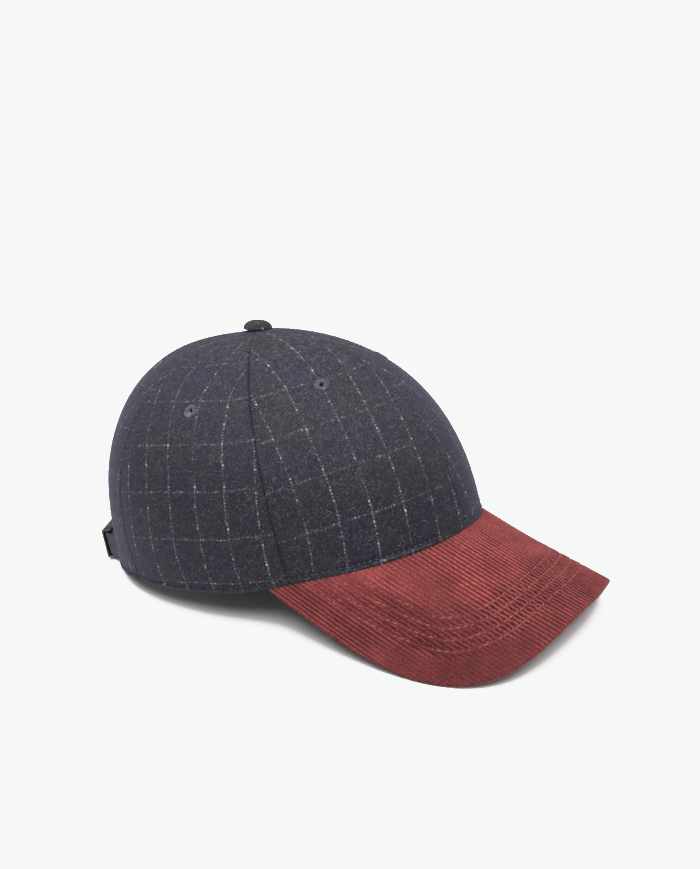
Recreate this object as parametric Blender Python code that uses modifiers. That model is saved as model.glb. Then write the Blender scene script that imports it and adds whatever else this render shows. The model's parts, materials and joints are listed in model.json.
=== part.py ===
"""A six-panel wool cap with a corduroy peak and a buckled strap, as it rests on a table.

Metres, +Z up. Everything is shaped in the cap's own frame: the peak points along -Y, the
wearer's right side is -X, and the rim's plane is Z = 0. An empty then leans the whole cap
back onto the rear of its rim and the two sides of its peak, which is how it lies by itself.
"""

import math

import bmesh
import bpy
import numpy as np
from mathutils import Matrix, Vector

# The clearance between two pieces, and the distance within which points are one
FIT_GAP = 0.0003
MERGE_DISTANCE = 1e-5

# The rim of the crown: an oval, slightly fuller than an ellipse
RIM_HALF_LENGTH = 0.1070
RIM_HALF_WIDTH = 0.0790
RIM_FULLNESS = 2.08

# The crown: its height over the rim's plane, and how far its top lies behind the rim's middle
CROWN_HEIGHT = 0.1191
TOP_SETBACK = 0.0015
CLOTH = 0.0020
SEAM_GAP = 0.0005
TOP_HOLE_RADIUS = 0.0034

# How the wall climbs from the rim at each side: rise is the reach of its straight lower part
# and flat that of the top, as shares of the height and of the rim's distance from the top.
# lean is the outward slope at the rim and fall the slope at the top, in rise over run.
WALL_SHAPES = {
    "front": {"rise": 0.76, "flat": 0.42, "lean": -0.086, "fall": 0.06},
    "side": {"rise": 0.50, "flat": 0.60, "lean": 0.309, "fall": 0.02},
    "back": {"rise": 1.04, "flat": 0.41, "lean": -0.011, "fall": 0.06},
}

# Seams, as angles from the front towards the side, at the rim and at the top
SEAMS = {
    "front": {"rim": 0.0, "top": 0.0},
    "side": {"rim": 59.0, "top": 69.0},
    "back": {"rim": 130.0, "top": 138.0},
    "rear": {"rim": 180.0, "top": 180.0},
}
SEAM_SWING = 0.9
PANELS = {
    "front": {"from": "front", "to": "side", "eyelet_angle": 28.7, "eyelet_rise": 0.542},
    "side": {"from": "side", "to": "back", "eyelet_angle": 100.9, "eyelet_rise": 0.569},
    "back": {"from": "back", "to": "rear", "eyelet_angle": 158.0, "eyelet_rise": 0.58},
}
PANEL_COLUMNS = 12
PANEL_ROWS = 15

# The peak: a sheet bent across its width, pitched down from the front of the rim
PEAK_LENGTH = 0.0642
PEAK_PITCH = math.radians(31.9)
PEAK_BEND_RADIUS = 0.0834
PEAK_FLARE = 0.063
PEAK_UPSWEEP = 0.47
PEAK_END = math.radians(67.2)
PEAK_END_HEIGHT = 0.0015
PEAK_FRONT_REACH = 0.083
PEAK_SIDE_REACH = 0.090
PEAK_SIDE_SPLAY = math.radians(2.7)
PEAK_THICKNESS = 0.0035
PEAK_EDGE_ROUNDING = 0.0011
PEAK_TUCK = 0.0018
PEAK_GAP = 0.0002
PEAK_COLUMNS = 15
PEAK_ROWS = 7
RIM_EASE = math.radians(14.0)

# The peak's left shoulder, where it is a little less bent and its edge is set back
SHOULDER_PLACE = 0.0450
SHOULDER_SPREAD = 0.0260
SHOULDER_SETBACK = 0.0018
SHOULDER_LIFT = 0.0024
SHOULDER_RUN = 0.0600

# The arched opening at the back: straight sides below, an elliptical head above
OPENING_HALF_WIDTH = 0.0420
OPENING_SIDE_HEIGHT = 0.0150
OPENING_HEAD_HEIGHT = 0.0290
OPENING_HEAD_STEPS = 16
CUT_MARGIN = 0.0100

# The covered button, its shank and its clearance over the cloth
BUTTON_RADIUS = 0.0077
BUTTON_HEIGHT = 0.0060
BUTTON_CLEARANCE = 0.00045
SHANK_RADIUS = 0.0026
SHANK_LENGTH = 0.0022
BUTTON_STEPS = 20

# The sewn eyelets
EYELET_RADIUS = 0.0042
EYELET_HOLE_RADIUS = 0.0014
EYELET_TUBE_RADIUS = 0.0019
EYELET_HEIGHT = 0.0009
EYELET_ROUNDING = 0.0005
EYELET_CLEARANCE = 0.00035
EYELET_STEPS = 14

# The strap and its tab, drawn along the back of the rim. along runs from the middle of the
# back towards the wearer's right, and out is the distance of the cloth's middle from the
# crown's outer surface.
STRAP_WIDTH = 0.0130
STRAP_BOTTOM = 0.0026
STRAP_THICKNESS = 0.0014
STRAP_ROUTE = [
    {"along": -0.0600, "out": -0.0034},
    {"along": -0.0520, "out": -0.0034},
    {"along": -0.0460, "out": -0.0034},
    {"along": -0.0380, "out": -0.0006},
    {"along": -0.0260, "out": 0.0036},
    {"along": -0.0120, "out": 0.0069},
    {"along": 0.0000, "out": 0.0084},
    {"along": 0.0080, "out": 0.0089},
    {"along": 0.0140, "out": 0.0086},
    {"along": 0.0200, "out": 0.0070},
    {"along": 0.0260, "out": 0.0039},
    {"along": 0.0320, "out": 0.0001},
    {"along": 0.0380, "out": -0.0037},
    {"along": 0.0440, "out": -0.0064},
    {"along": 0.0500, "out": -0.0068},
    {"along": 0.0600, "out": -0.0068},
]
STRAP_COLUMNS = 44
TAB_THICKNESS = 0.0010
TAB_OUTER_LAYER = -0.0032
TAB_INNER_LAYER = -0.0047
TAB_END = 0.0560
TAB_BEND = 0.0505
TAB_ENTRY = 0.0455
TAB_FOLD_SETBACK = 0.0010
TAB_LOOP_STEPS = 10
BAND_LEAN = 0.115
BAND_EASE = 0.012
REAR_END = math.radians(95.0)
REAR_STEPS = 80

# The buckle: a cover plate with two side flanges and two bars, standing off the crown
BUCKLE_LENGTH = 0.0220
BUCKLE_WIDTH = 0.0164
BUCKLE_PLATE = 0.0011
BUCKLE_FLANGE = 0.0010
BUCKLE_DEPTH = 0.0058
BUCKLE_ROUNDING = 0.0007
BUCKLE_CENTRE = Vector((-0.0260, 0.1118, 0.0095))
BUCKLE_TURN = math.radians(25.0)
BUCKLE_LEAN = math.radians(3.0)
BAR_RADIUS = 0.0008
BAR_SIDES = 10
BAR_SEARCH = (0.010, 0.045)
BAR_SEARCH_STEPS = 176
TAB_BAR_PLACE = 0.0085
TAB_BAR_DEPTH = 0.0037
STRAP_BAR_PLACE = -0.0090
STRAP_BAR_DEPTH = 0.0048

# How the cap lies on the table
REST_LEAN = math.radians(11.26)
REST_SHIFT = 0.0278
REST_LIFT = 0.02134

# Surface looks: base colour, roughness and metallic value
LOOKS = {
    "wool": {"colour": (0.055, 0.056, 0.085), "roughness": 0.95, "metallic": 0.0},
    "corduroy": {"colour": (0.300, 0.060, 0.060), "roughness": 0.90, "metallic": 0.0},
    "thread": {"colour": (0.130, 0.150, 0.220), "roughness": 0.70, "metallic": 0.0},
    "metal": {"colour": (0.090, 0.085, 0.070), "roughness": 0.40, "metallic": 1.0},
}


def smooth_step(value):
    """Ease from 0 to 1 with level ends."""
    value = min(max(value, 0.0), 1.0)
    return value * value * (3.0 - 2.0 * value)


def rim_plan(angle):
    """Return x and y of the rim at an angle from the front, positive to the wearer's right."""
    ahead, aside = math.cos(angle), math.sin(angle)
    share = abs(ahead / RIM_HALF_LENGTH) ** RIM_FULLNESS
    share += abs(aside / RIM_HALF_WIDTH) ** RIM_FULLNESS
    reach = share ** (-1.0 / RIM_FULLNESS)
    return -reach * aside, -reach * ahead


def shoulder(x):
    """Return how much a place across the peak belongs to its left shoulder."""
    return math.exp(-(((x - SHOULDER_PLACE) / SHOULDER_SPREAD) ** 2))


def peak_drop(x, y):
    """Return how far the peak's top lies below the front of the rim."""
    forward = -y - RIM_HALF_LENGTH
    radius = PEAK_BEND_RADIUS + PEAK_FLARE * forward
    bend = radius - math.sqrt(radius**2 - min(abs(x), 0.995 * radius) ** 2)
    lift = SHOULDER_LIFT * shoulder(x) * smooth_step(forward / SHOULDER_RUN)
    return forward * math.tan(PEAK_PITCH) + bend - PEAK_UPSWEEP * forward**2 - lift


def peak_height(x, y):
    """Return the height of the peak's top over the rim's plane."""
    return PEAK_END_HEIGHT + peak_drop(*rim_plan(PEAK_END)) - peak_drop(x, y)


def rim_point(angle):
    """Return the crown's lower edge: on the peak in front, level at the sides and back."""
    x, y = rim_plan(angle)
    if abs(angle) <= PEAK_END:
        height = peak_height(x, y)
    else:
        height = PEAK_END_HEIGHT * (1.0 - smooth_step((abs(angle) - PEAK_END) / RIM_EASE))
    return Vector((x, y, height + PEAK_GAP))


def wall_shape(angle, column):
    """Mix one column of the wall shapes for an angle round the crown."""
    ahead = math.cos(angle)
    weights = {"front": max(ahead, 0.0) ** 2, "back": max(-ahead, 0.0) ** 2}
    weights["side"] = math.sin(angle) ** 2
    return sum(weights[side] * WALL_SHAPES[side][column] for side in weights)


def crown_point(angle, rise):
    """Return a point of the crown's outer surface, with rise 0 at the rim and 1 at the top."""
    low = rim_point(angle)
    top = Vector((0.0, TOP_SETBACK, CROWN_HEIGHT))
    outward = Vector((low.x - top.x, low.y - top.y, 0.0))
    reach = outward.length
    outward.normalize()
    up = Vector((0.0, 0.0, 1.0))
    climb = wall_shape(angle, "rise") * (CROWN_HEIGHT - low.z)
    low_handle = low + climb * (up + wall_shape(angle, "lean") * outward)
    top_handle = top + wall_shape(angle, "flat") * reach * (
        outward - wall_shape(angle, "fall") * up
    )
    rise = float(rise)
    rest = 1.0 - rise
    return (
        rest**3 * low
        + 3.0 * rest**2 * rise * low_handle
        + 3.0 * rest * rise**2 * top_handle
        + rise**3 * top
    )


def crown_normal(angle, rise):
    """Return the crown's outward direction at a point."""
    step = 1e-3
    across = crown_point(angle + step, rise) - crown_point(angle - step, rise)
    upward = crown_point(angle, rise + step) - crown_point(angle, max(rise - step, 0.0))
    return upward.cross(across).normalized()


def rise_at_height(angle, height):
    """Return the rise at which the crown reaches a height over the rim."""
    rises = np.linspace(0.0, 0.5, 60)
    base = crown_point(angle, 0.0).z
    heights = [crown_point(angle, rise).z - base for rise in rises]
    return float(np.interp(height, heights, rises))


def last_rise(angle):
    """Return the rise at which the crown comes to the hole under the button."""
    rises = np.linspace(1.0, 0.8, 80)
    top = crown_point(angle, 1.0)
    spans = [(crown_point(angle, rise) - top).xy.length for rise in rises]
    return float(np.interp(TOP_HOLE_RADIUS, spans, rises))


def seam_angle(seam, rise):
    """Return the angle of a seam at a rise."""
    ends = SEAMS[seam]
    return math.radians(ends["rim"] + (ends["top"] - ends["rim"]) * rise**SEAM_SWING)


def make_material(name):
    """Return the material of one kind of stuff, made once."""
    material = bpy.data.materials.get(name)
    if material is None:
        material = bpy.data.materials.new(name)
        material.use_nodes = True
        shader = material.node_tree.nodes["Principled BSDF"]
        look = LOOKS[name]
        shader.inputs["Base Color"].default_value = (*look["colour"], 1.0)
        shader.inputs["Roughness"].default_value = look["roughness"]
        shader.inputs["Metallic"].default_value = look["metallic"]
    return material


def add_object(name, mesh, look, parts, pose):
    """Put a mesh in the parts collection as one named piece of the cap."""
    piece = bpy.data.objects.new(name, mesh)
    mesh.materials.clear()
    mesh.materials.append(make_material(look))
    parts.objects.link(piece)
    piece.parent = pose
    return piece


def sheet_mesh(name, rows):
    """Return an open surface through rows of points, with coincident points merged."""
    columns = len(rows[0])
    points = [point for row in rows for point in row]
    faces = []
    for row in range(len(rows) - 1):
        for column in range(columns - 1):
            corner = row * columns + column
            faces.append((corner, corner + 1, corner + columns + 1, corner + columns))
    mesh = bpy.data.meshes.new(name)
    mesh.from_pydata(points, [], faces)
    work = bmesh.new()
    work.from_mesh(mesh)
    bmesh.ops.remove_doubles(work, verts=work.verts, dist=MERGE_DISTANCE)
    work.to_mesh(mesh)
    work.free()
    mesh.shade_smooth()
    return mesh


def thicken(piece, thickness, offset):
    """Give a sheet its thickness: offset -1 grows it inwards, 0 to both sides."""
    solidify = piece.modifiers.new("thickness", "SOLIDIFY")
    solidify.thickness = thickness
    solidify.offset = offset


def add_turned(name, profile, steps, closed, look, parts, pose):
    """Add a piece turned about Z from a profile that runs down its outer side."""
    mesh = bpy.data.meshes.new(name)
    edges = [(index, index + 1) for index in range(len(profile) - 1)]
    if closed:
        edges.append((len(profile) - 1, 0))
    mesh.from_pydata([(radius, 0.0, height) for radius, height in profile], edges, [])
    piece = add_object(name, mesh, look, parts, pose)
    screw = piece.modifiers.new("turn", "SCREW")
    screw.steps = steps
    screw.render_steps = steps
    screw.use_merge_vertices = True
    screw.merge_threshold = MERGE_DISTANCE
    screw.use_smooth_shade = True
    return piece


def cut(piece, cutter):
    """Cut one piece with a cutter."""
    boolean = piece.modifiers.new("cut", "BOOLEAN")
    boolean.operation = "DIFFERENCE"
    boolean.solver = "EXACT"
    boolean.object = cutter


def join(piece, other):
    """Fuse another mesh into a piece."""
    boolean = piece.modifiers.new("join", "BOOLEAN")
    boolean.operation = "UNION"
    boolean.solver = "EXACT"
    boolean.object = other


def add_helper(name, mesh, helpers, pose):
    """Put a cutter or another helper mesh where no piece is read from."""
    helper = bpy.data.objects.new(name, mesh)
    helpers.objects.link(helper)
    helper.parent = pose
    helper.hide_render = True
    helper.display_type = "WIRE"
    return helper


def drum_mesh(name, radius, depth, sides):
    """Return a closed cylinder about Z."""
    work = bmesh.new()
    bmesh.ops.create_cone(
        work, cap_ends=True, segments=sides, radius1=radius, radius2=radius, depth=depth
    )
    mesh = bpy.data.meshes.new(name)
    work.to_mesh(mesh)
    work.free()
    return mesh


def box_mesh(name, size):
    """Return a closed box about its middle, with its size already applied."""
    work = bmesh.new()
    bmesh.ops.create_cube(work, size=1.0)
    bmesh.ops.scale(work, vec=size, verts=work.verts)
    mesh = bpy.data.meshes.new(name)
    work.to_mesh(mesh)
    work.free()
    return mesh


def mirrored(side):
    """Return the sign of the angles on a side of the cap."""
    return 1.0 if side == "right" else -1.0


def panel_rows(panel, side):
    """Return rows of points over one panel, from the rim up to the hole under the button."""
    ends = PANELS[panel]
    middle = 0.5 * (seam_angle(ends["from"], 1.0) + seam_angle(ends["to"], 1.0))
    top_rise = last_rise(middle)
    rows = []
    for row in range(PANEL_ROWS + 1):
        rise = top_rise * row / PANEL_ROWS
        start, stop = seam_angle(ends["from"], rise), seam_angle(ends["to"], rise)
        span = crown_point(0.5 * (start + stop), rise)
        reach = max(math.hypot(span.x, span.y - TOP_SETBACK), TOP_HOLE_RADIUS)
        margin = 0.5 * SEAM_GAP / reach
        angles = np.linspace(start + margin, stop - margin, PANEL_COLUMNS + 1)
        rows.append([crown_point(mirrored(side) * float(angle), rise) for angle in angles])
    return rows


def facing_out(rows):
    """Order a sheet's rows so that its faces look away from the inside of the crown."""
    middle, column = len(rows) // 2, len(rows[0]) // 2
    across = rows[middle][column + 1] - rows[middle][column]
    upward = rows[middle + 1][column] - rows[middle][column]
    outward = rows[middle][column] - Vector((0.0, 0.0, 0.3 * CROWN_HEIGHT))
    if across.cross(upward).dot(outward) < 0.0:
        return [list(reversed(row)) for row in rows]
    return rows


def place_on_crown(piece, angle, rise):
    """Stand a piece on the crown's outer surface, its Z axis along the cloth's normal."""
    normal = crown_normal(abs(angle), rise)
    if angle < 0.0:
        normal.x = -normal.x
    turn = normal.to_track_quat("Z", "Y").to_matrix().to_4x4()
    piece.matrix_local = Matrix.Translation(crown_point(angle, rise)) @ turn


def add_opening_cutter(helpers, pose):
    """Return the cutter of the arched opening: a prism along Y through both back panels."""
    outline = [(OPENING_HALF_WIDTH, -CUT_MARGIN)]
    for step in range(OPENING_HEAD_STEPS + 1):
        turn = math.pi * step / OPENING_HEAD_STEPS
        across = OPENING_HALF_WIDTH * math.cos(turn)
        up = OPENING_SIDE_HEIGHT + OPENING_HEAD_HEIGHT * math.sin(turn)
        outline.append((across, up))
    outline.append((-OPENING_HALF_WIDTH, -CUT_MARGIN))
    work = bmesh.new()
    face = work.faces.new([work.verts.new((x, 0.5 * RIM_HALF_LENGTH, z)) for x, z in outline])
    grown = bmesh.ops.extrude_face_region(work, geom=[face])
    moved = [item for item in grown["geom"] if isinstance(item, bmesh.types.BMVert)]
    bmesh.ops.translate(work, vec=(0.0, RIM_HALF_LENGTH, 0.0), verts=moved)
    bmesh.ops.recalc_face_normals(work, faces=work.faces)
    mesh = bpy.data.meshes.new("opening_cutter")
    work.to_mesh(mesh)
    work.free()
    return add_helper("opening_cutter", mesh, helpers, pose)


def add_panel(panel, side, opening, parts, helpers, pose):
    """Add one panel of the crown with its eyelet, and cut the openings in it."""
    name = f"{panel}_panel_{side}"
    rows = facing_out(panel_rows(panel, side))
    piece = add_object(name, sheet_mesh(name, rows), "wool", parts, pose)
    thicken(piece, CLOTH, -1.0)
    angle = mirrored(side) * math.radians(PANELS[panel]["eyelet_angle"])
    rise = PANELS[panel]["eyelet_rise"]
    drum = drum_mesh(f"hole_{panel}_{side}", EYELET_TUBE_RADIUS + FIT_GAP, CUT_MARGIN, EYELET_STEPS)
    hole = add_helper(f"hole_{panel}_{side}", drum, helpers, pose)
    place_on_crown(hole, angle, rise)
    cut(piece, hole)
    if panel == "back":
        cut(piece, opening)
    add_eyelet(f"eyelet_{panel}_{side}", angle, rise, parts, pose)


def add_eyelet(name, angle, rise, parts, pose):
    """Add a sewn eyelet: a padded ring on the cloth and its lining through the hole."""
    foot, inside = EYELET_CLEARANCE, -CLOTH - EYELET_CLEARANCE
    crest = 0.5 * (EYELET_RADIUS + EYELET_HOLE_RADIUS)
    profile = [
        (EYELET_HOLE_RADIUS + EYELET_ROUNDING, EYELET_HEIGHT - 0.4 * EYELET_ROUNDING),
        (crest, EYELET_HEIGHT),
        (EYELET_RADIUS - EYELET_ROUNDING, EYELET_HEIGHT - 0.4 * EYELET_ROUNDING),
        (EYELET_RADIUS, foot + 0.2 * EYELET_ROUNDING),
        (EYELET_RADIUS - 0.6 * EYELET_ROUNDING, foot),
        (EYELET_TUBE_RADIUS, foot),
        (EYELET_TUBE_RADIUS, inside),
        (EYELET_HOLE_RADIUS, inside),
        (EYELET_HOLE_RADIUS, EYELET_HEIGHT - EYELET_ROUNDING),
    ]
    piece = add_turned(name, profile, EYELET_STEPS, True, "thread", parts, pose)
    place_on_crown(piece, angle, rise)


def peak_outline(share):
    """Return x and y of the peak's free edge: 0 at its tip, 1 at its end on the rim."""
    tip = Vector((0.0, -(RIM_HALF_LENGTH + PEAK_LENGTH)))
    end = Vector(rim_plan(PEAK_END))
    tip_handle = tip + Vector((-PEAK_FRONT_REACH, 0.0))
    splay = Vector((-math.sin(PEAK_SIDE_SPLAY), -math.cos(PEAK_SIDE_SPLAY)))
    end_handle = end + PEAK_SIDE_REACH * splay
    rest = 1.0 - share
    return (
        rest**3 * tip
        + 3.0 * rest**2 * share * tip_handle
        + 3.0 * rest * share**2 * end_handle
        + share**3 * end
    )


def peak_column(share, sign):
    """Return the peak's points on one line from under the crown's wall to its free edge."""
    side = Vector((sign, 1.0))
    rim = Vector(rim_plan(share * PEAK_END)) * side
    edge = peak_outline(share) * side
    edge.y += SHOULDER_SETBACK * shoulder(edge.x) * (1.0 - share**4)
    tucked = rim * (1.0 - PEAK_TUCK / rim.length)
    points = [Vector((*tucked, peak_height(*rim) - PEAK_GAP))]
    for row in range(PEAK_ROWS + 1):
        place = rim.lerp(edge, row / PEAK_ROWS)
        points.append(Vector((*place, peak_height(*place) - PEAK_GAP)))
    return points


def add_peak(parts, pose):
    """Add the peak, a bent sheet with a lip tucked under the crown's front edge."""
    shares = [column / PEAK_COLUMNS for column in range(PEAK_COLUMNS + 1)]
    right = [peak_column(share, 1.0) for share in reversed(shares)]
    left = [peak_column(share, -1.0) for share in shares[1:]]
    mesh = sheet_mesh("peak", right + left)
    piece = add_object("peak", mesh, "corduroy", parts, pose)
    thicken(piece, PEAK_THICKNESS, -1.0)
    bevel = piece.modifiers.new("rounded_edge", "BEVEL")
    bevel.width = PEAK_EDGE_ROUNDING
    bevel.segments = 2
    bevel.limit_method = "ANGLE"
    bevel.angle_limit = math.radians(50.0)


def add_button(parts, pose):
    """Add the covered button, with the shank that goes down through the crown's top."""
    base = BUTTON_CLEARANCE
    profile = [
        (0.0, BUTTON_HEIGHT),
        (0.45 * BUTTON_RADIUS, 0.97 * BUTTON_HEIGHT),
        (0.76 * BUTTON_RADIUS, 0.84 * BUTTON_HEIGHT),
        (0.94 * BUTTON_RADIUS, 0.60 * BUTTON_HEIGHT),
        (BUTTON_RADIUS, 0.36 * BUTTON_HEIGHT),
        (0.93 * BUTTON_RADIUS, base + 0.0007),
        (0.82 * BUTTON_RADIUS, base),
        (SHANK_RADIUS, base),
        (SHANK_RADIUS, -SHANK_LENGTH),
        (0.0, -SHANK_LENGTH),
    ]
    piece = add_turned("button", profile, BUTTON_STEPS, False, "wool", parts, pose)
    piece.location = (0.0, TOP_SETBACK, CROWN_HEIGHT)


def rear_point(along, height, out):
    """Return a point near the back, measured along the rim, up the wall and out from it."""
    angles = np.linspace(math.pi, REAR_END, REAR_STEPS)
    places = [Vector(rim_plan(angle)) for angle in angles]
    steps = [(b - a).length for a, b in zip(places, places[1:])]
    angle = float(np.interp(abs(along), np.concatenate([[0.0], np.cumsum(steps)]), angles))
    rise = rise_at_height(angle, height)
    point = crown_point(angle, rise) + out * crown_normal(angle, rise)
    return Vector((point.x if along >= 0.0 else -point.x, point.y, point.z))


def curve_through(points, count):
    """Return points on a smooth curve through the given ones, evenly spread."""
    ends = [2.0 * points[0] - points[1], *points, 2.0 * points[-1] - points[-2]]
    places = []
    for index in range(count + 1):
        where = index / count * (len(points) - 1)
        span = min(int(where), len(points) - 2)
        share = where - span
        a, b, c, d = ends[span : span + 4]
        bend = (2.0 * a - 5.0 * b + 4.0 * c - d) * share**2
        twist = (3.0 * b - a - 3.0 * c + d) * share**3
        places.append(0.5 * (2.0 * b + (c - a) * share + bend + twist))
    return places


def band_point(place, share):
    """Return a point of a standing band, which leans with the buckle outside the crown."""
    outside = smooth_step((OPENING_HALF_WIDTH - abs(place.x)) / BAND_EASE)
    lean = BAND_LEAN * outside * STRAP_WIDTH * (share - 0.5)
    return rear_point(place.x, STRAP_BOTTOM + STRAP_WIDTH * share, place.y + lean)


def add_band(name, route, thickness, parts, pose):
    """Add a standing band of cloth along a route of (along, out) places."""
    rows = [[band_point(place, share) for place in route] for share in (0.0, 0.5, 1.0)]
    piece = add_object(name, sheet_mesh(name, rows), "wool", parts, pose)
    thicken(piece, thickness, 0.0)


def add_strap(parts, pose):
    """Add the strap, from inside the left back panel, out and through the buckle."""
    route = [Vector((place["along"], place["out"])) for place in STRAP_ROUTE]
    add_band("strap", curve_through(route, STRAP_COLUMNS), STRAP_THICKNESS, parts, pose)


def buckle_frame():
    """Return the buckle's own axes: X along the strap, Y out from the crown, Z up."""
    turn = Matrix.Rotation(BUCKLE_TURN, 4, "Z")
    lean = Matrix.Rotation(-BUCKLE_LEAN, 4, "X")
    return Matrix.Translation(BUCKLE_CENTRE) @ turn @ lean


def bar_place(place, depth):
    """Return a bar's place in the buckle, as (along, out) at the strap's middle height."""
    spot = buckle_frame() @ Vector((-place, -depth, 0.0))
    height = STRAP_BOTTOM + 0.5 * STRAP_WIDTH
    spans = np.linspace(*BAR_SEARCH, BAR_SEARCH_STEPS)
    misses = [(rear_point(span, height, 0.0) - spot).xy.length for span in spans]
    best = int(np.argmin(misses))
    return Vector((float(spans[best]), misses[best]))


def add_tab(parts, pose):
    """Add the tab: a strip folded round the buckle's bar, both ends inside the crown."""
    bar = bar_place(TAB_BAR_PLACE, TAB_BAR_DEPTH)
    radius = BAR_RADIUS + FIT_GAP + 0.5 * TAB_THICKNESS
    entry = Vector((TAB_ENTRY, 0.5 * (TAB_OUTER_LAYER + TAB_INNER_LAYER)))
    heading = math.atan2(entry.y - bar.y, entry.x - bar.x)
    route = [Vector((along, TAB_OUTER_LAYER)) for along in (TAB_END, TAB_BEND, TAB_ENTRY)]
    for step in range(TAB_LOOP_STEPS + 1):
        turn = heading + 0.5 * math.pi + math.pi * step / TAB_LOOP_STEPS
        route.append(bar + radius * Vector((math.cos(turn), math.sin(turn))))
    inner = (TAB_ENTRY - TAB_FOLD_SETBACK, TAB_BEND, TAB_END)
    route += [Vector((along, TAB_INNER_LAYER)) for along in inner]
    add_band("strap_tab", route, TAB_THICKNESS, parts, pose)


def add_buckle(parts, helpers, pose):
    """Add the buckle: a hollowed plate with a bar for the tab and one for the strap."""
    body = box_mesh("buckle", (BUCKLE_LENGTH, BUCKLE_DEPTH, BUCKLE_WIDTH))
    body.transform(Matrix.Translation((0.0, -0.5 * BUCKLE_DEPTH, 0.0)))
    piece = add_object("buckle", body, "metal", parts, pose)
    piece.matrix_local = buckle_frame()
    bevel = piece.modifiers.new("rounded_edges", "BEVEL")
    bevel.width = BUCKLE_ROUNDING
    bevel.segments = 2
    inner = BUCKLE_WIDTH - 2.0 * BUCKLE_FLANGE
    channel = box_mesh("channel", (2.0 * BUCKLE_LENGTH, 2.0 * BUCKLE_DEPTH, inner))
    channel.transform(Matrix.Translation((0.0, -BUCKLE_DEPTH - BUCKLE_PLATE, 0.0)))
    cutter = add_helper("channel", channel, helpers, pose)
    cutter.matrix_local = buckle_frame()
    cut(piece, cutter)
    for name, place, depth in (
        ("tab_bar", TAB_BAR_PLACE, TAB_BAR_DEPTH),
        ("strap_bar", STRAP_BAR_PLACE, STRAP_BAR_DEPTH),
    ):
        bar = drum_mesh(name, BAR_RADIUS, inner + BUCKLE_FLANGE, BAR_SIDES)
        helper = add_helper(name, bar, helpers, pose)
        helper.matrix_local = buckle_frame() @ Matrix.Translation((-place, -depth, 0.0))
        join(piece, helper)


def clear_scene():
    """Remove the objects that a new file starts with."""
    for item in list(bpy.data.objects):
        bpy.data.objects.remove(item, do_unlink=True)


def add_collection(name):
    """Return a new collection in the scene."""
    collection = bpy.data.collections.new(name)
    bpy.context.scene.collection.children.link(collection)
    return collection


def main():
    """Model the cap."""
    clear_scene()
    parts = add_collection("cap")
    helpers = add_collection("cutters")
    pose = bpy.data.objects.new("resting_pose", None)
    parts.objects.link(pose)
    pose.rotation_euler = (-REST_LEAN, 0.0, 0.0)
    pose.location = (0.0, REST_SHIFT, REST_LIFT)
    opening = add_opening_cutter(helpers, pose)
    for side in ("right", "left"):
        for panel in PANELS:
            add_panel(panel, side, opening, parts, helpers, pose)
    add_peak(parts, pose)
    add_button(parts, pose)
    add_strap(parts, pose)
    add_tab(parts, pose)
    add_buckle(parts, helpers, pose)


main()
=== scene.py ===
"""A six-panel wool cap with a corduroy peak and a buckled strap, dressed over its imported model.

Metres, +Z up. The cap is shaped in its own frame, as its solids are: the peak points along -Y,
the wearer's right is -X and the rim's plane is Z = 0. to_world() then leans it back onto its
buckle and the two corners of its peak, as it lies on a table.
"""

import json
import math

import bmesh
import bpy
import numpy as np
from bpy.props import FloatProperty, FloatVectorProperty, IntProperty, PointerProperty
from mathutils import Matrix, Vector
from mathutils.bvhtree import BVHTree

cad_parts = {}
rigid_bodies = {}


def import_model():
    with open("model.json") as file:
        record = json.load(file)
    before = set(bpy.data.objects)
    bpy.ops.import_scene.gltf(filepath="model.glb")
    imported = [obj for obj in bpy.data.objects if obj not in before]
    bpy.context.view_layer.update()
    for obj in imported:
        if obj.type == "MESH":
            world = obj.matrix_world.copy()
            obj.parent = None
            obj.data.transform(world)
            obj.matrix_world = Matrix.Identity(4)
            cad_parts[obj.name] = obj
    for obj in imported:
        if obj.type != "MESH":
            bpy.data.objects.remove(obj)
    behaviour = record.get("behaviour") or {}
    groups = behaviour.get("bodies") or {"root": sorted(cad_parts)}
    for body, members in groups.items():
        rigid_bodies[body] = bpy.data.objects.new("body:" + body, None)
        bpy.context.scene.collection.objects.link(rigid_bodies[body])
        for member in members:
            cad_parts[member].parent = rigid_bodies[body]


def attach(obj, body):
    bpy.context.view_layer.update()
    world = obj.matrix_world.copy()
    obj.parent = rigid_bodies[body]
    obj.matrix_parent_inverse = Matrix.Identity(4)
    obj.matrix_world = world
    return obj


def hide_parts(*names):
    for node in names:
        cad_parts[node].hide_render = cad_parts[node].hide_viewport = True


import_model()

bl_info = {
    "name": "Wool cap",
    "version": (1, 0, 0),
    "blender": (4, 5, 0),
    "location": "3D View > Sidebar > Cap",
    "description": "Builds a checked wool cap with a corduroy peak over its packed model",
    "category": "Object",
}

# The crown and its rim
RIM_HALF_LENGTH = 0.1070
RIM_HALF_WIDTH = 0.0790
RIM_FULLNESS = 2.08
CROWN_HEIGHT = 0.1191
TOP_SETBACK = 0.0015
TOP_HOLE_RADIUS = 0.0030
WALL_SHAPES = {
    "front": {"rise": 0.76, "flat": 0.42, "lean": -0.086, "fall": 0.06},
    "side": {"rise": 0.50, "flat": 0.60, "lean": 0.309, "fall": 0.02},
    "back": {"rise": 1.04, "flat": 0.41, "lean": -0.011, "fall": 0.06},
}
SEAMS = {
    "front": {"rim": 0.0, "top": 0.0},
    "side": {"rim": 59.0, "top": 69.0},
    "back": {"rim": 130.0, "top": 138.0},
    "rear": {"rim": 180.0, "top": 180.0},
}
SEAM_SWING = 0.9

# How dark the painted shade in a seam's fold is: nearly hidden at the middle of the front and behind the side
# panels
QUIET_SEAM_SHADE = 0.06
CLEAR_SEAM_SHADE = 0.85

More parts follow.
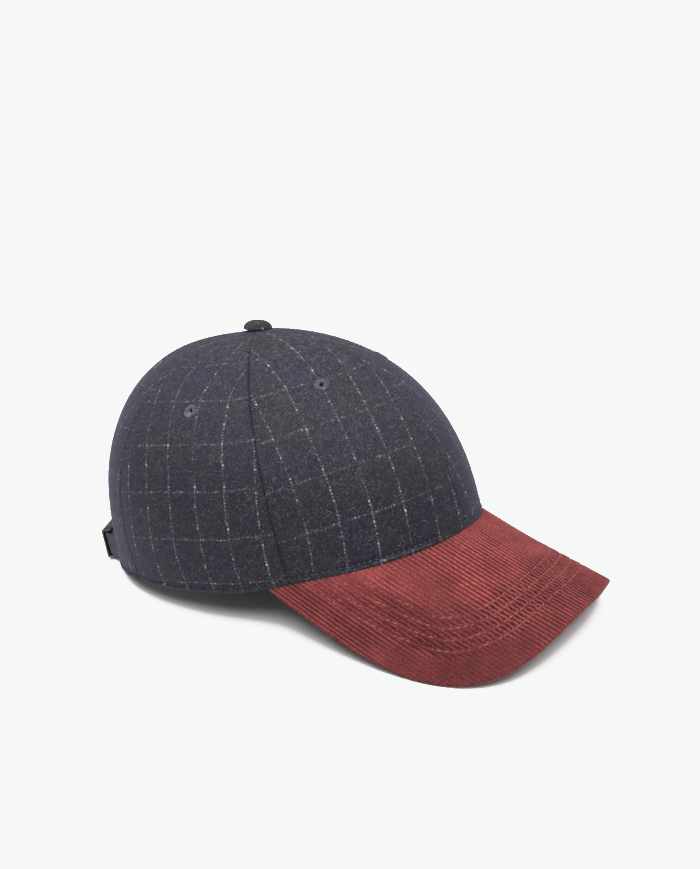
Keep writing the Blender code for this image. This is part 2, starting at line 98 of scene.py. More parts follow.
# The cloth that is sewn in behind a panel, beside its seams and over the rim: how thick it is, how
# far it reaches and how wide a step it ends in
ALLOWANCE_THICKNESS = 0.0007
ALLOWANCE_REACH = 0.0050
TURN_THICKNESS = 0.0008
TURN_REACH = 0.0110
SEWN_STEP = 0.0012

# The slow swells of the cloth, as waves with so many radians in each metre, and the bunch of the
# seams beside the button
SWELL_HEIGHT = 0.00016
SWELLS = [
    {"share": 1.0, "x": 61.0, "y": 38.0, "z": 27.0, "start": 0.6},
    {"share": 0.8, "x": -47.0, "y": 83.0, "z": -52.0, "start": 2.1},
    {"share": 0.5, "x": 131.0, "y": -22.0, "z": 96.0, "start": 4.0},
]
BUNCH_HEIGHT = 0.0012
BUNCH_SPREAD = 0.0125
BUNCH_PLACE = (-0.0055, TOP_SETBACK - 0.0012)

# The radius that the rim's edge is rolled over by, and the radius left open behind an eyelet
RIM_ROLL = 0.0013
EYELET_CLEARING = 0.0025

# The even points across each panel, between the close ones at its seams, and all the points up it
PANEL_COLUMNS = 52
PANEL_ROWS = 92

PANELS = {
    "front": {
        "from": "front", "to": "side", "eyelet_angle": 28.7, "eyelet_rise": 0.542,
        "grain": {0.0: 29.5, 0.15: 29.0, 0.37: 29.0, 0.51: 28.0, 0.63: 26.0, 0.75: 24.0, 1.0: 20.0},
    },
    "side": {
        "from": "side", "to": "back", "eyelet_angle": 100.9, "eyelet_rise": 0.569,
        "grain": {0.0: 96.0, 0.2: 96.0, 0.35: 97.5, 0.46: 101.0, 0.55: 104.0, 0.62: 107.0, 1.0: 112.0},
    },
    "back": {
        "from": "back", "to": "rear", "eyelet_angle": 158.0, "eyelet_rise": 0.58,
        "grain": {0.0: 157.0, 0.5: 158.0, 1.0: 160.0},
    },
}

# Where the check falls on each panel: the pitch of its lines across and up, and how many lines
# the pattern is moved from the grain line and from the rim
CHECK = {
    ("front", "right"): {"across": 0.0172, "up": 0.0252, "move": -0.09, "lift": 0.08},
    ("side", "right"): {"across": 0.0178, "up": 0.0243, "move": 0.50, "lift": 0.26},
    ("back", "right"): {"across": 0.0175, "up": 0.0248, "move": 0.20, "lift": 0.40},
    ("front", "left"): {"across": 0.0172, "up": 0.0252, "move": 0.54, "lift": 0.30},
    ("side", "left"): {"across": 0.0178, "up": 0.0243, "move": 0.10, "lift": 0.62},
    ("back", "left"): {"across": 0.0175, "up": 0.0248, "move": 0.70, "lift": 0.15},
}

# The usual pitch of the check's lines, which its dots and flecks are spaced by, how far they wander
# and how strongly the upright and the level ones show
LINE_PITCH = 0.0175
LEVEL_PITCH = 0.0247
LINE_WANDER = 0.0020
UPRIGHT_STRENGTH = 0.42
LEVEL_STRENGTH = 0.21

# The peak
PEAK_LENGTH = 0.0642
PEAK_PITCH = math.radians(31.9)
PEAK_BEND_RADIUS = 0.0834
PEAK_FLARE = 0.063
PEAK_UPSWEEP = 0.47
PEAK_END = math.radians(67.2)
PEAK_END_HEIGHT = 0.0015
PEAK_FRONT_REACH = 0.083
PEAK_SIDE_REACH = 0.090
PEAK_SIDE_SPLAY = math.radians(2.7)
PEAK_THICKNESS = 0.0035
PEAK_TUCK = 0.0018
PEAK_GAP = 0.0002
RIM_EASE = math.radians(14.0)
SHOULDER_PLACE = 0.0450
SHOULDER_SPREAD = 0.0260
SHOULDER_SETBACK = 0.0018
SHOULDER_LIFT = 0.0024
SHOULDER_RUN = 0.0600

# The ribs are spread in the middle of the peak and eased together towards its sides
RIB_SPREAD = 1.045
RIB_EASE = 4.8

# The peak's sewn band reaches this far beyond its inner rows, and its sides begin here
BAND_REACH = 0.0055
BAND_FADE = 0.0040
SIDE_PLACE = 0.0420
SIDE_RUN = 0.0140

# Beside its stitches the corduroy is pulled in, the band between the rows swells, and the peak's
# edge is rolled over by a radius
ROW_WIDTH = 0.00055
ROW_DEPTH = 0.00042
BAND_SWELL = 0.00018
EDGE_ROLL = 0.00135

# Soft patches where the peak's pile is brushed flat and its tone painted lighter or darker, partly as painted
# light and shade, in metres across it and ahead of the rim's front, turned, and stretched along and aside
PATCHES = {
    "rim": {"across": -0.050, "ahead": -0.003, "turn": 0.0, "along": 1.0, "aside": 1.7, "size": 0.012},
    "edge": {"across": -0.060, "ahead": 0.037, "turn": 45.97, "along": 2.4, "aside": 1.2, "size": 0.013},
    "crest": {"across": 0.027, "ahead": 0.030, "turn": 0.0, "along": 1.0, "aside": 1.6, "size": 0.014},
    "hollow": {"across": -0.051, "ahead": 0.007, "turn": 0.0, "along": 1.0, "aside": 1.3, "size": 0.014},
}

# The margin along the peak's edge, brushed flat and given painted shade, the darker streak of painted shade
# inside it, and where the wearer's right side of the peak begins
MARGIN_WIDTH = 0.0090
MARGIN_FADE = 0.0060
STREAK_PLACE = 0.0137
STREAK_WIDTH = 0.0036
NEAR_PLACE = 0.0600
NEAR_RUN = 0.0200

# How much each mark lightens or darkens the corduroy, as a share of its tone. Beside the brushed pile, the
# marks stand partly for painted light and shade: lighter by the rim, on the crest and behind the rows, which
# face up into the light, and darker at the front edge, in the hollow, along the sewn band and low on the near
# side, which face away from it or lie sunk.
PEAK_TONES = {
    "rim": 0.12,
    "crest": 0.26,
    "edge": -0.27,
    "hollow": -0.30,
    "margin": -0.22,
    "near_margin": -0.09,
    "near_streak": -0.30,
    "rows": -0.18,
    "rows_aside": -0.09,
    "rows_behind": 0.16,
    "low": -0.14,
}

# The arched opening at the back
OPENING_HALF_WIDTH = 0.0420
OPENING_SIDE_HEIGHT = 0.0150
OPENING_HEAD_HEIGHT = 0.0290

# Where the hem's stitches end beside the opening, their pitch and how deep they lie
HEM_END = math.radians(154.0)
HEM_PITCH = 0.0030
HEM_SUNK = 0.00045

# The strap, its tab and the buckle, along the back of the rim and out from the crown. The strap's
# two rows of stitches lie at shares of its width
STRAP_WIDTH = 0.0130
STRAP_THICKNESS = 0.0014
STRAP_BOTTOM = 0.0026
STRAP_SEWN = 0.0380
STRAP_ROWS = (0.13, 0.87)
STRAP_ROUTE = [
    {"along": -0.0600, "out": -0.0034},
    {"along": -0.0520, "out": -0.0034},
    {"along": -0.0460, "out": -0.0034},
    {"along": -0.0380, "out": -0.0006},
    {"along": -0.0260, "out": 0.0036},
    {"along": -0.0120, "out": 0.0069},
    {"along": 0.0000, "out": 0.0084},
    {"along": 0.0080, "out": 0.0089},
    {"along": 0.0140, "out": 0.0086},
    {"along": 0.0200, "out": 0.0070},
    {"along": 0.0260, "out": 0.0039},
    {"along": 0.0320, "out": 0.0001},
    {"along": 0.0380, "out": -0.0037},
    {"along": 0.0440, "out": -0.0064},
    {"along": 0.0500, "out": -0.0068},
    {"along": 0.0600, "out": -0.0068},
]
TAB_THICKNESS = 0.0010
TAB_OUTER_LAYER = -0.0032
TAB_INNER_LAYER = -0.0047
TAB_END = 0.0560
TAB_MIDDLE = 0.0505
TAB_ENTRY = 0.0455
BAND_LEAN = 0.115
BAND_EASE = 0.012
BUCKLE_CENTRE = Vector((-0.0260, 0.1118, 0.0095))
BUCKLE_TURN = math.radians(25.0)
BUCKLE_LEAN = math.radians(3.0)
BUCKLE_LENGTH = 0.0220
BUCKLE_WIDTH = 0.0164
BUCKLE_DEPTH = 0.0058
BUCKLE_PLATE = 0.0011
BUCKLE_FLANGE = 0.0010
BAR_RADIUS = 0.0008
TAB_BAR = Vector((-0.0085, -0.0037, 0.0))
STRAP_BAR = Vector((0.0090, -0.0048, 0.0))
BUTTON_AXIS = Vector((0.20, 0.10, 0.97))
FIT_GAP = 0.0003

# How the cap lies on the table
REST_LEAN = math.radians(11.26)
REST_SHIFT = 0.0278
REST_LIFT = 0.02134

# Painted light and shade: the wool is painted darkest below the first height over the table and lightest
# above the second, where the light from above falls on it most
SHADED_BELOW = 0.065
LIT_ABOVE = 0.125

# Pale tufts of fuzz begin at the first height, and from the second one up they show fully: kept to the top,
# they are partly a painted sheen of the nap where it is seen at grazing angles
SHEEN_TUFTS_BELOW = 0.122
SHEEN_TUFTS_ABOVE = 0.140
SHEEN_TUFTS_STRENGTH = 0.045

# The sizes of the wool's mottling: its grain, its pale tufts, its patches and its broad clouds
GRAIN_SIZE = 0.0008
TUFT_SIZE = 0.0026
PATCH_SIZE = 0.0035
CLOUD_SIZE = 0.016

# How light tones print: true up to the first, then quickly up to the paper's white
PRINT_CURVE = [(0.42, 0.42), (0.54, 0.68), (0.70, 0.86)]

BODY = "root"
MM = 0.001
SIDES = ("right", "left")
EACH_PANEL = [(panel, side) for panel in PANELS for side in SIDES]


# Shape of the crown and the peak


def ease(value, start, run):
    """Ease from 0 to 1 with level ends, over a run that begins at a start."""
    share = np.clip((value - start) / run, 0.0, 1.0)
    return share * share * (3.0 - 2.0 * share)


def hump(value, width):
    """Return a smooth hump of height 1 about zero."""
    return np.exp(-((value / width) ** 2))


def roll_off(distance, radius):
    """Return how far a surface drops near its edge, where it is rounded over by a radius."""
    return radius - np.sqrt(np.maximum(radius**2 - np.maximum(radius - distance, 0.0) ** 2, 0.0))


def steady_random(number):
    """Return a share from 0 to 1 that looks random and is always the same for a number."""
    return np.modf(np.abs(np.sin(number * 12.9898) * 43758.5453))[0]


def unit(vectors):
    """Return vectors at a length of 1."""
    return vectors / np.linalg.norm(vectors, axis=-1, keepdims=True)


def headings(points):
    """Return the directions along a line of points."""
    return unit(np.gradient(points, axis=0))


def run_lengths(points):
    """Return how far along a line of points each of them lies."""
    return np.concatenate([[0.0], np.cumsum(np.linalg.norm(np.diff(points, axis=0), axis=1))])


def cubic(share, start, start_handle, end_handle, end):
    """Return points on a cubic curve between two ends, bent by their handles."""
    rest = 1.0 - share
    return (
        rest**3 * start
        + 3.0 * rest**2 * share * start_handle
        + 3.0 * rest * share**2 * end_handle
        + share**3 * end
    )


def to_world(points):
    """Lean the cap's own frame back into its resting place."""
    points = np.asarray(points, float)
    cosine, sine = math.cos(REST_LEAN), math.sin(REST_LEAN)
    y = points[..., 1] * cosine + points[..., 2] * sine + REST_SHIFT
    z = points[..., 2] * cosine - points[..., 1] * sine + REST_LIFT
    return np.stack([points[..., 0], y, z], -1)


def directions_to_world(directions):
    """Lean directions of the cap's own frame as the cap itself leans."""
    return to_world(directions) - to_world(np.zeros(3))


def rim_plan(angle):
    """Return x and y of the rim at angles from the front, positive to the wearer's right."""
    ahead, aside = np.cos(angle), np.sin(angle)
    share = np.abs(ahead / RIM_HALF_LENGTH) ** RIM_FULLNESS
    share = share + np.abs(aside / RIM_HALF_WIDTH) ** RIM_FULLNESS
    reach = share ** (-1.0 / RIM_FULLNESS)
    return -reach * aside, -reach * ahead


def beyond_rim(x, y):
    """Return how far places lie outside the rim, in its plane."""
    return np.hypot(x, y) - np.hypot(*rim_plan(np.arctan2(-x, -y)))


def bend_radius(forward):
    """Return the radius that the peak is bent to, at distances ahead of the rim's front."""
    return PEAK_BEND_RADIUS + PEAK_FLARE * forward


def shoulder(x):
    """Return how much a place across the peak belongs to its left shoulder."""
    return hump(x - SHOULDER_PLACE, SHOULDER_SPREAD)


def peak_drop(x, y):
    """Return how far the peak's top lies below the front of the rim."""
    forward = -y - RIM_HALF_LENGTH
    radius = bend_radius(forward)
    bend = radius - np.sqrt(radius**2 - np.minimum(np.abs(x), 0.995 * radius) ** 2)
    lift = SHOULDER_LIFT * shoulder(x) * ease(forward, 0.0, SHOULDER_RUN)
    return forward * math.tan(PEAK_PITCH) + bend - PEAK_UPSWEEP * forward**2 - lift


def peak_height(x, y):
    """Return the height of the peak's top over the rim's plane."""
    return PEAK_END_HEIGHT + peak_drop(*rim_plan(PEAK_END)) - peak_drop(x, y)


def wall_shape(angle, column):
    """Mix one column of the wall shapes for angles round the crown."""
    ahead = np.cos(angle)
    weights = {
        "front": np.maximum(ahead, 0.0) ** 2,
        "side": np.sin(angle) ** 2,
        "back": np.maximum(-ahead, 0.0) ** 2,
    }
    return sum(weights[side] * WALL_SHAPES[side][column] for side in weights)


def crown_points(angle, rise):
    """Return points of the crown's outer surface, with rise 0 at the rim and 1 at the top."""
    angle, rise = np.broadcast_arrays(np.asarray(angle, float), np.asarray(rise, float))
    x, y = rim_plan(angle)
    beyond = PEAK_END_HEIGHT * (1.0 - ease(np.abs(angle), PEAK_END, RIM_EASE))
    height = np.where(np.abs(angle) <= PEAK_END, peak_height(x, y), beyond) + PEAK_GAP
    low = np.stack([x, y, height], -1)
    top = np.array([0.0, TOP_SETBACK, CROWN_HEIGHT])
    outward = np.stack([x, y - TOP_SETBACK, np.zeros_like(x)], -1)
    reach = np.linalg.norm(outward, axis=-1, keepdims=True)
    outward = outward / reach
    up = np.array([0.0, 0.0, 1.0])
    climb = (wall_shape(angle, "rise") * (CROWN_HEIGHT - height))[..., None]
    low_handle = low + climb * (up + wall_shape(angle, "lean")[..., None] * outward)
    level = wall_shape(angle, "flat")[..., None] * reach
    top_handle = top + level * (outward - wall_shape(angle, "fall")[..., None] * up)
    return cubic(rise[..., None], low, low_handle, top_handle, top)


def crown_normals(angle, rise):
    """Return the crown's outward directions."""
    step = 1e-3
    across = crown_points(angle + step, rise) - crown_points(angle - step, rise)
    above, below = np.minimum(rise + step, 1.0), np.maximum(rise - step, 0.0)
    return unit(np.cross(crown_points(angle, above) - crown_points(angle, below), across))


def seam_angle(seam, rise):
    """Return the angle of a seam at rises up the wall."""
    ends = SEAMS[seam]
    return np.radians(ends["rim"] + (ends["top"] - ends["rim"]) * rise**SEAM_SWING)


class CrownMeasure:
    """Arc lengths over half of the crown, up the wall and round it."""

    ANGLES = 241
    RISES = 161

    def __init__(self):
        angles = np.linspace(0.0, math.pi, self.ANGLES)[:, None]
        points = crown_points(angles, np.linspace(0.0, 1.0, self.RISES)[None, :])
        self.up = np.zeros(points.shape[:2])
        self.up[:, 1:] = np.cumsum(np.linalg.norm(np.diff(points, axis=1), axis=2), axis=1)
        self.round = np.zeros(points.shape[:2])
        self.round[1:] = np.cumsum(np.linalg.norm(np.diff(points, axis=0), axis=2), axis=0)

    def read(self, table, angle, rise):
        """Return a table's value at angles and rises."""
        row = np.clip(angle / math.pi * (self.ANGLES - 1), 0.0, self.ANGLES - 1.001)
        column = np.clip(rise * (self.RISES - 1), 0.0, self.RISES - 1.001)
        row, column = np.broadcast_arrays(row, column)
        low, left = row.astype(int), column.astype(int)
        a, b = row - low, column - left
        return (
            table[low, left] * (1 - a) * (1 - b)
            + table[low + 1, left] * a * (1 - b)
            + table[low, left + 1] * (1 - a) * b
            + table[low + 1, left + 1] * a * b
        )

    def height(self, angle, rise):
        """Return the distance up the wall from the rim."""
        return self.read(self.up, angle, rise)

    def across(self, angle, rise):
        """Return the distance round the wall from the middle of the front."""
        return self.read(self.round, angle, rise)

    def rise_at(self, angle, height):
        """Return the rises at which the wall reaches distances from the rim."""
        low = np.zeros(np.broadcast(angle, height).shape)
        high = np.ones_like(low)
        for _ in range(22):
            middle = 0.5 * (low + high)
            under = self.height(angle, middle) < height
            low, high = np.where(under, middle, low), np.where(under, high, middle)
        return 0.5 * (low + high)


MEASURE = CrownMeasure()


def side_sign(side):
    """Return the sign of x on a side of the cap, for shapes made on the wearer's right."""
    return 1.0 if side == "right" else -1.0


def on_side(points, side):
    """Mirror points made on the wearer's right to the side asked for."""
    return points * np.array([side_sign(side), 1.0, 1.0])


# Meshes


def mesh_of(work, name):
    """Return a new mesh made from a finished bmesh."""
    mesh = bpy.data.meshes.new(name)
    work.to_mesh(mesh)
    work.free()
    return mesh


def mend(mesh, merge=False):
    """Turn a closed mesh's faces outward, after its doubles are merged where asked for."""
    work = bmesh.new()
    work.from_mesh(mesh)
    if merge:
        bmesh.ops.remove_doubles(work, verts=work.verts, dist=1e-6)
    bmesh.ops.recalc_face_normals(work, faces=work.faces)
    work.to_mesh(mesh)
    work.free()
    return mesh


def add_piece(name, mesh, material):
    """Put a finished mesh in the scene with its material."""
    piece = bpy.data.objects.new(name, mesh)
    mesh.materials.clear()
    mesh.materials.append(material)
    bpy.context.scene.collection.objects.link(piece)
    return piece


def settle(piece, slot, *nodes):
    """Hang a finished piece on the body that it rides on, and hide the solids that it stands for. The slot,
    its finish, is not used.
    """
    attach(piece, BODY)
    if nodes:
        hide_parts(*nodes)


def plain_mesh(piece):
    """Turn a piece with modifiers into a plain mesh."""
    depsgraph = bpy.context.evaluated_depsgraph_get()
    made = piece.evaluated_get(depsgraph)
    mesh = bpy.data.meshes.new_from_object(made, preserve_all_data_layers=True, depsgraph=depsgraph)
    old = piece.data
    piece.modifiers.clear()
    piece.data = mesh
    mesh.name = piece.name
    bpy.data.meshes.remove(old)


def cells(rows, columns):
    """Return the quads of a lattice, facing along up cross across."""
    index = np.arange(rows * columns).reshape(rows, columns)
    quads = [index[:-1, :-1], index[1:, :-1], index[1:, 1:], index[:-1, 1:]]
    return np.stack(quads, -1)


def open_edges(quads):
    """Return the directed edges that only one quad has."""
    edges = np.concatenate([quads[:, [i, (i + 1) % 4]] for i in range(4)])
    key = np.sort(edges, axis=1)
    key = key[:, 0] * (quads.max() + 1) + key[:, 1]
    _, first, count = np.unique(key, return_index=True, return_counts=True)
    return edges[first[count == 1]]


def numpy_mesh(name, points, faces, layers):
    """Return a smooth mesh with UV maps and point attributes given for each point."""
    mesh = bpy.data.meshes.new(name)
    mesh.from_pydata(points.reshape(-1, 3).tolist(), [], [face.tolist() for face in faces])
    corners = np.zeros(len(mesh.loops), int)
    mesh.loops.foreach_get("vertex_index", corners)
    for label, values in layers.items():
        if values.shape[-1] == 2:
            layer = mesh.uv_layers.new(name=label)
            layer.data.foreach_set("uv", values.reshape(-1, 2)[corners].ravel())
        else:
            attribute = mesh.attributes.new(label, "FLOAT", "POINT")
            attribute.data.foreach_set("value", values.ravel())
    mesh.shade_smooth()
    return mesh


def shell_mesh(name, outer, inner, weave, marks, keep, flip):
    """Return a closed shell between two lattices of points, with some cells left out."""
    rows, columns = outer.shape[:2]
    quads = cells(rows, columns)[keep].reshape(-1, 4)
    if flip:
        quads = quads[:, ::-1]
    count = rows * columns
    rim = open_edges(quads)
    walls = np.stack([rim[:, 1], rim[:, 0], rim[:, 0] + count, rim[:, 1] + count], -1)
    faces = np.concatenate([quads, quads[:, ::-1] + count, walls])
    points = np.concatenate([outer.reshape(-1, 3), inner.reshape(-1, 3)])
    used, faces = np.unique(faces, return_inverse=True)
    faces = faces.reshape(-1, 4)
    layers = {"weave": np.concatenate([weave.reshape(-1, 2)] * 2)[used]}
    for label, (outside, inside) in marks.items():
        both = np.concatenate([outside.ravel(), inside.ravel()])[used]
        layers[label] = both[:, None]
    return numpy_mesh(name, points[used], faces, layers)


def swept_mesh(name, rings, weave):
    """Return a tube through rings of points, with its two ends filled."""
    count, sides = rings.shape[:2]
    index = np.arange(count * sides).reshape(count, sides)
    following = np.roll(index, -1, axis=1)
    quads = np.stack([index[:-1], following[:-1], following[1:], index[1:]], -1).reshape(-1, 4)
    faces = [*quads, index[0][::-1], index[-1]]
    return mend(numpy_mesh(name, rings, faces, {"weave": weave}))


def turned_mesh(name, profile, steps, weave_scale):
    """Return a closed shape turned about Z from a profile of (radius, height)."""
    profile = np.array(profile)
    turn = np.linspace(0.0, 2.0 * math.pi, steps, endpoint=False)[:, None]
    points = np.stack(
        [profile[:, 0] * np.cos(turn), profile[:, 0] * np.sin(turn), profile[:, 1] + 0 * turn], -1
    )
    length = run_lengths(profile)
    weave = np.stack([turn * weave_scale + 0 * length, length + 0 * turn], -1)
    index = np.arange(points.shape[0] * points.shape[1]).reshape(points.shape[:2])
    following = np.roll(index, -1, axis=0)
    quads = np.stack([index[:, :-1], index[:, 1:], following[:, 1:], following[:, :-1]], -1)
    mesh = mend(numpy_mesh(name, points, quads.reshape(-1, 4), {"weave": weave}), merge=True)
    mesh.shade_smooth()
    return mesh


def box_mesh(name, size):
    """Return a closed box about its middle, with its size already applied."""
    work = bmesh.new()
    bmesh.ops.create_cube(work, size=1.0)
    bmesh.ops.scale(work, vec=size, verts=work.verts)
    return mesh_of(work, name)


def add_bevel(piece, width, segments, angle):
    """Round the edges of a piece that turn by more than an angle."""
    bevel = piece.modifiers.new("rounded_edges", "BEVEL")
    bevel.width = width
    bevel.segments = segments
    bevel.limit_method = "ANGLE"
    bevel.angle_limit = angle


def use_tool(piece, tool, operation):
    """Cut a piece with another mesh, or fuse them, and remove the tool."""
    boolean = piece.modifiers.new("shape", "BOOLEAN")
    boolean.operation = operation
    boolean.solver = "EXACT"
    boolean.object = tool
    plain_mesh(piece)
    remove_piece(tool)


# Geometry nodes


class Nodes:
    """A node tree, with a short way to add nodes to it."""

    def __init__(self, tree):
        self.tree = tree

    def add(self, kind, values=None, **settings):
        """Add a node, set it up and link or fill its inputs."""
        node = self.tree.nodes.new(kind)
        for key, value in settings.items():
            setattr(node, key, value)
        for key, value in (values or {}).items():
            if isinstance(value, bpy.types.NodeSocket):
                self.tree.links.new(value, node.inputs[key])
            else:
                node.inputs[key].default_value = value
        return node


class NodeTree(Nodes):
    """A geometry node tree with named inputs, written down as it is built."""

    def __init__(self, name, inputs):
        super().__init__(bpy.data.node_groups.new(name, "GeometryNodeTree"))
        face = self.tree.interface
        face.new_socket(name="Geometry", in_out="INPUT", socket_type="NodeSocketGeometry")
        for label, (kind, value) in inputs.items():
            socket = face.new_socket(name=label, in_out="INPUT", socket_type=kind)
            if value is not None:
                socket.default_value = value
        face.new_socket(name="Geometry", in_out="OUTPUT", socket_type="NodeSocketGeometry")
        self.source = self.tree.nodes.new("NodeGroupInput")
        self.result = self.tree.nodes.new("NodeGroupOutput")

    def input(self, label):
        """Return the socket of a named input."""
        return self.source.outputs[label]

    def random(self, low, high, seed):
        """Return a random number for each item, or a random vector between two vectors."""
        kind = "FLOAT_VECTOR" if isinstance(low, tuple) else "FLOAT"
        values = {"Min": low, "Max": high, "Seed": seed}
        return self.add("FunctionNodeRandomValue", values, data_type=kind).outputs["Value"]

    def copies(self, label, points, rotation, scale, smooth):
        """Set copies of a named input's object on points, and end the tree with them."""
        item = self.add("GeometryNodeObjectInfo", {"Object": self.input(label)}).outputs["Geometry"]
        values = {"Points": points, "Instance": item, "Rotation": rotation, "Scale": scale}
        self.finish(self.add("GeometryNodeInstanceOnPoints", values).outputs[0], smooth)
        return self

    def finish(self, instances, smooth):
        """End the tree: real geometry, shading and the material input."""
        real = self.add("GeometryNodeRealizeInstances", {"Geometry": instances})
        shaded = self.add(
            "GeometryNodeSetShadeSmooth", {"Geometry": real.outputs[0], "Shade Smooth": smooth}
        )
        looks = self.add(
            "GeometryNodeSetMaterial",
            {"Geometry": shaded.outputs[0], "Material": self.input("Material")},
        )
        self.tree.links.new(looks.outputs[0], self.result.inputs[0])

    def grow_on(self, piece, values):
        """Run the tree on a piece and keep the result as its mesh."""
        modifier = piece.modifiers.new("grow", "NODES")
        modifier.node_group = self.tree
        for item in self.tree.interface.items_tree:
            if item.in_out == "INPUT" and item.name in values:
                modifier[item.identifier] = values[item.name]
        piece.update_tag()
        plain_mesh(piece)
        piece.data.materials.clear()
        piece.data.materials.append(values["Material"])
        piece.data.polygons.foreach_set("material_index", [0] * len(piece.data.polygons))


def stitch_tree():
    """Return the tree that lays stitches end to end along a line of points."""
    tree = NodeTree(
        "stitch_row",
        {
            "Pitch": ("NodeSocketFloat", 0.0035),
            "Stitch": ("NodeSocketObject", None),
            "Seed": ("NodeSocketInt", 1),
            "Material": ("NodeSocketMaterial", None),
        },
    )
    line = tree.add("GeometryNodeMeshToCurve", {"Mesh": tree.input("Geometry")})
    spread = tree.add(
        "GeometryNodeResampleCurve",
        {"Curve": line.outputs[0], "Length": tree.input("Pitch")},
        mode="LENGTH",
    )
    facing = tree.add("GeometryNodeInputNamedAttribute", {"Name": "facing"}, data_type="FLOAT_VECTOR")
    tangent = tree.add("GeometryNodeInputTangent")
    along = tree.add(
        "FunctionNodeAlignRotationToVector", {"Vector": tangent.outputs[0]}, axis="X"
    )
    turned = tree.add(
        "FunctionNodeAlignRotationToVector",
        {"Rotation": along.outputs[0], "Vector": facing.outputs[0]},
        axis="Z",
        pivot_axis="X",
    )
    seed = tree.input("Seed")
    swayed = tree.add(
        "FunctionNodeRotateRotation",
        {
            "Rotation": turned.outputs[0],
            "Rotate By": tree.random((-0.05, -0.03, -0.07), (0.05, 0.03, 0.07), seed),
        },
        rotation_space="LOCAL",
    )
    stretch = tree.random((0.86, 0.85, 0.8), (1.06, 1.1, 1.1), seed)
    return tree.copies("Stitch", spread.outputs[0], swayed.outputs[0], stretch, True)


def nap_tree():
    """Return the tree that scatters short loose fibres over the outside of the cloth."""
    tree = NodeTree(
        "nap",
        {
            "Density": ("NodeSocketFloat", 1.0e6),
            "Fibre": ("NodeSocketObject", None),
            "Shortest": ("NodeSocketFloat", 0.5),
            "Longest": ("NodeSocketFloat", 1.3),
            "Least Tilt": ("NodeSocketFloat", 0.9),
            "Most Tilt": ("NodeSocketFloat", 1.45),
            "Seed": ("NodeSocketInt", 1),
            "Material": ("NodeSocketMaterial", None),
        },
    )
    outside = tree.add("GeometryNodeInputNamedAttribute", {"Name": "outside"}, data_type="FLOAT")
    share = tree.add(
        "ShaderNodeMath", {0: tree.input("Density"), 1: outside.outputs[0]}, operation="MULTIPLY"
    )
    points = tree.add(
        "GeometryNodeDistributePointsOnFaces",
        {
            "Mesh": tree.input("Geometry"),
            "Density": share.outputs[0],
            "Seed": tree.input("Seed"),
        },
        distribute_method="RANDOM",
    )
    tilt = tree.random(tree.input("Least Tilt"), tree.input("Most Tilt"), tree.input("Seed"))
    spin = tree.random(0.0, 2.0 * math.pi, 7)
    turn = tree.add("ShaderNodeCombineXYZ", {"X": tilt, "Z": spin})
    rotation = tree.add(
        "FunctionNodeRotateRotation",
        {"Rotation": points.outputs["Rotation"], "Rotate By": turn.outputs[0]},
        rotation_space="LOCAL",
    )
    size = tree.random(tree.input("Shortest"), tree.input("Longest"), 11)
    return tree.copies("Fibre", points.outputs["Points"], rotation.outputs[0], size, False)


def ring_tree():
    """Return the tree that sets threads side by side round a ring."""
    tree = NodeTree(
        "satin_ring",
        {
            "Threads": ("NodeSocketInt", 56),
            "Thread": ("NodeSocketObject", None),
            "Seed": ("NodeSocketInt", 1),
            "Material": ("NodeSocketMaterial", None),
        },
    )
    spots = tree.add(
        "GeometryNodeMeshLine",
        {"Count": tree.input("Threads"), "Offset": (0.0, 0.0, 0.0)},
        mode="OFFSET",
    )
    index = tree.add("GeometryNodeInputIndex")
    share = tree.add(
        "ShaderNodeMath", {0: index.outputs[0], 1: tree.input("Threads")}, operation="DIVIDE"
    )
    angle = tree.add("ShaderNodeMath", {0: share.outputs[0], 1: 2.0 * math.pi}, operation="MULTIPLY")
    sway = tree.random(-0.035, 0.035, tree.input("Seed"))
    swayed = tree.add("ShaderNodeMath", {0: angle.outputs[0], 1: sway}, operation="ADD")
    turn = tree.add("ShaderNodeCombineXYZ", {"Z": swayed.outputs[0]})
    size = tree.random((0.95, 0.9, 0.9), (1.06, 1.1, 1.1), tree.input("Seed"))
    return tree.copies("Thread", spots.outputs[0], turn.outputs[0], size, True)


def line_mesh(name, points, facing):
    """Return a line of edges that knows which way the cloth under it faces."""
    mesh = bpy.data.meshes.new(name)
    edges = [(index, index + 1) for index in range(len(points) - 1)]
    mesh.from_pydata(points.tolist(), edges, [])
    attribute = mesh.attributes.new("facing", "FLOAT_VECTOR", "POINT")
    attribute.data.foreach_set("vector", facing.ravel())
    return mesh


def thread_mesh(name, path, radius, sides):
    """Return a thread along a path in the XZ plane, thinner where it enters the cloth."""
    path = np.array(path)
    turn = np.linspace(0.0, 2.0 * math.pi, sides, endpoint=False)
    thick = radius * thread_swell(len(path))[:, None]
    out, aside = thick * np.sin(turn), thick * np.cos(turn)
    ahead = headings(path)[:, None]
    rings = np.stack([path[:, :1] - ahead[..., 1] * out, aside, path[:, 1:] + ahead[..., 0] * out], -1)
    return swept_mesh(name, rings, np.zeros(rings.shape[:2] + (2,)))


def thread_swell(count):
    """Return how thick a stitch is along its length."""
    place = np.linspace(-1.0, 1.0, count)
    return np.sqrt(np.maximum(1.0 - 0.75 * place**6, 0.1))


def add_stitch(name, length, radius, rise):
    """Add one stitch to be copied: a thread that arches out of the cloth and back."""
    place = np.linspace(-0.5, 0.5, 7)
    path = np.stack([place * length, rise * (1.0 - (2.0 * place) ** 4) - 0.6 * radius], -1)
    return add_piece(name, thread_mesh(name, path, radius, 6), plain_look("stitch_to_copy"))


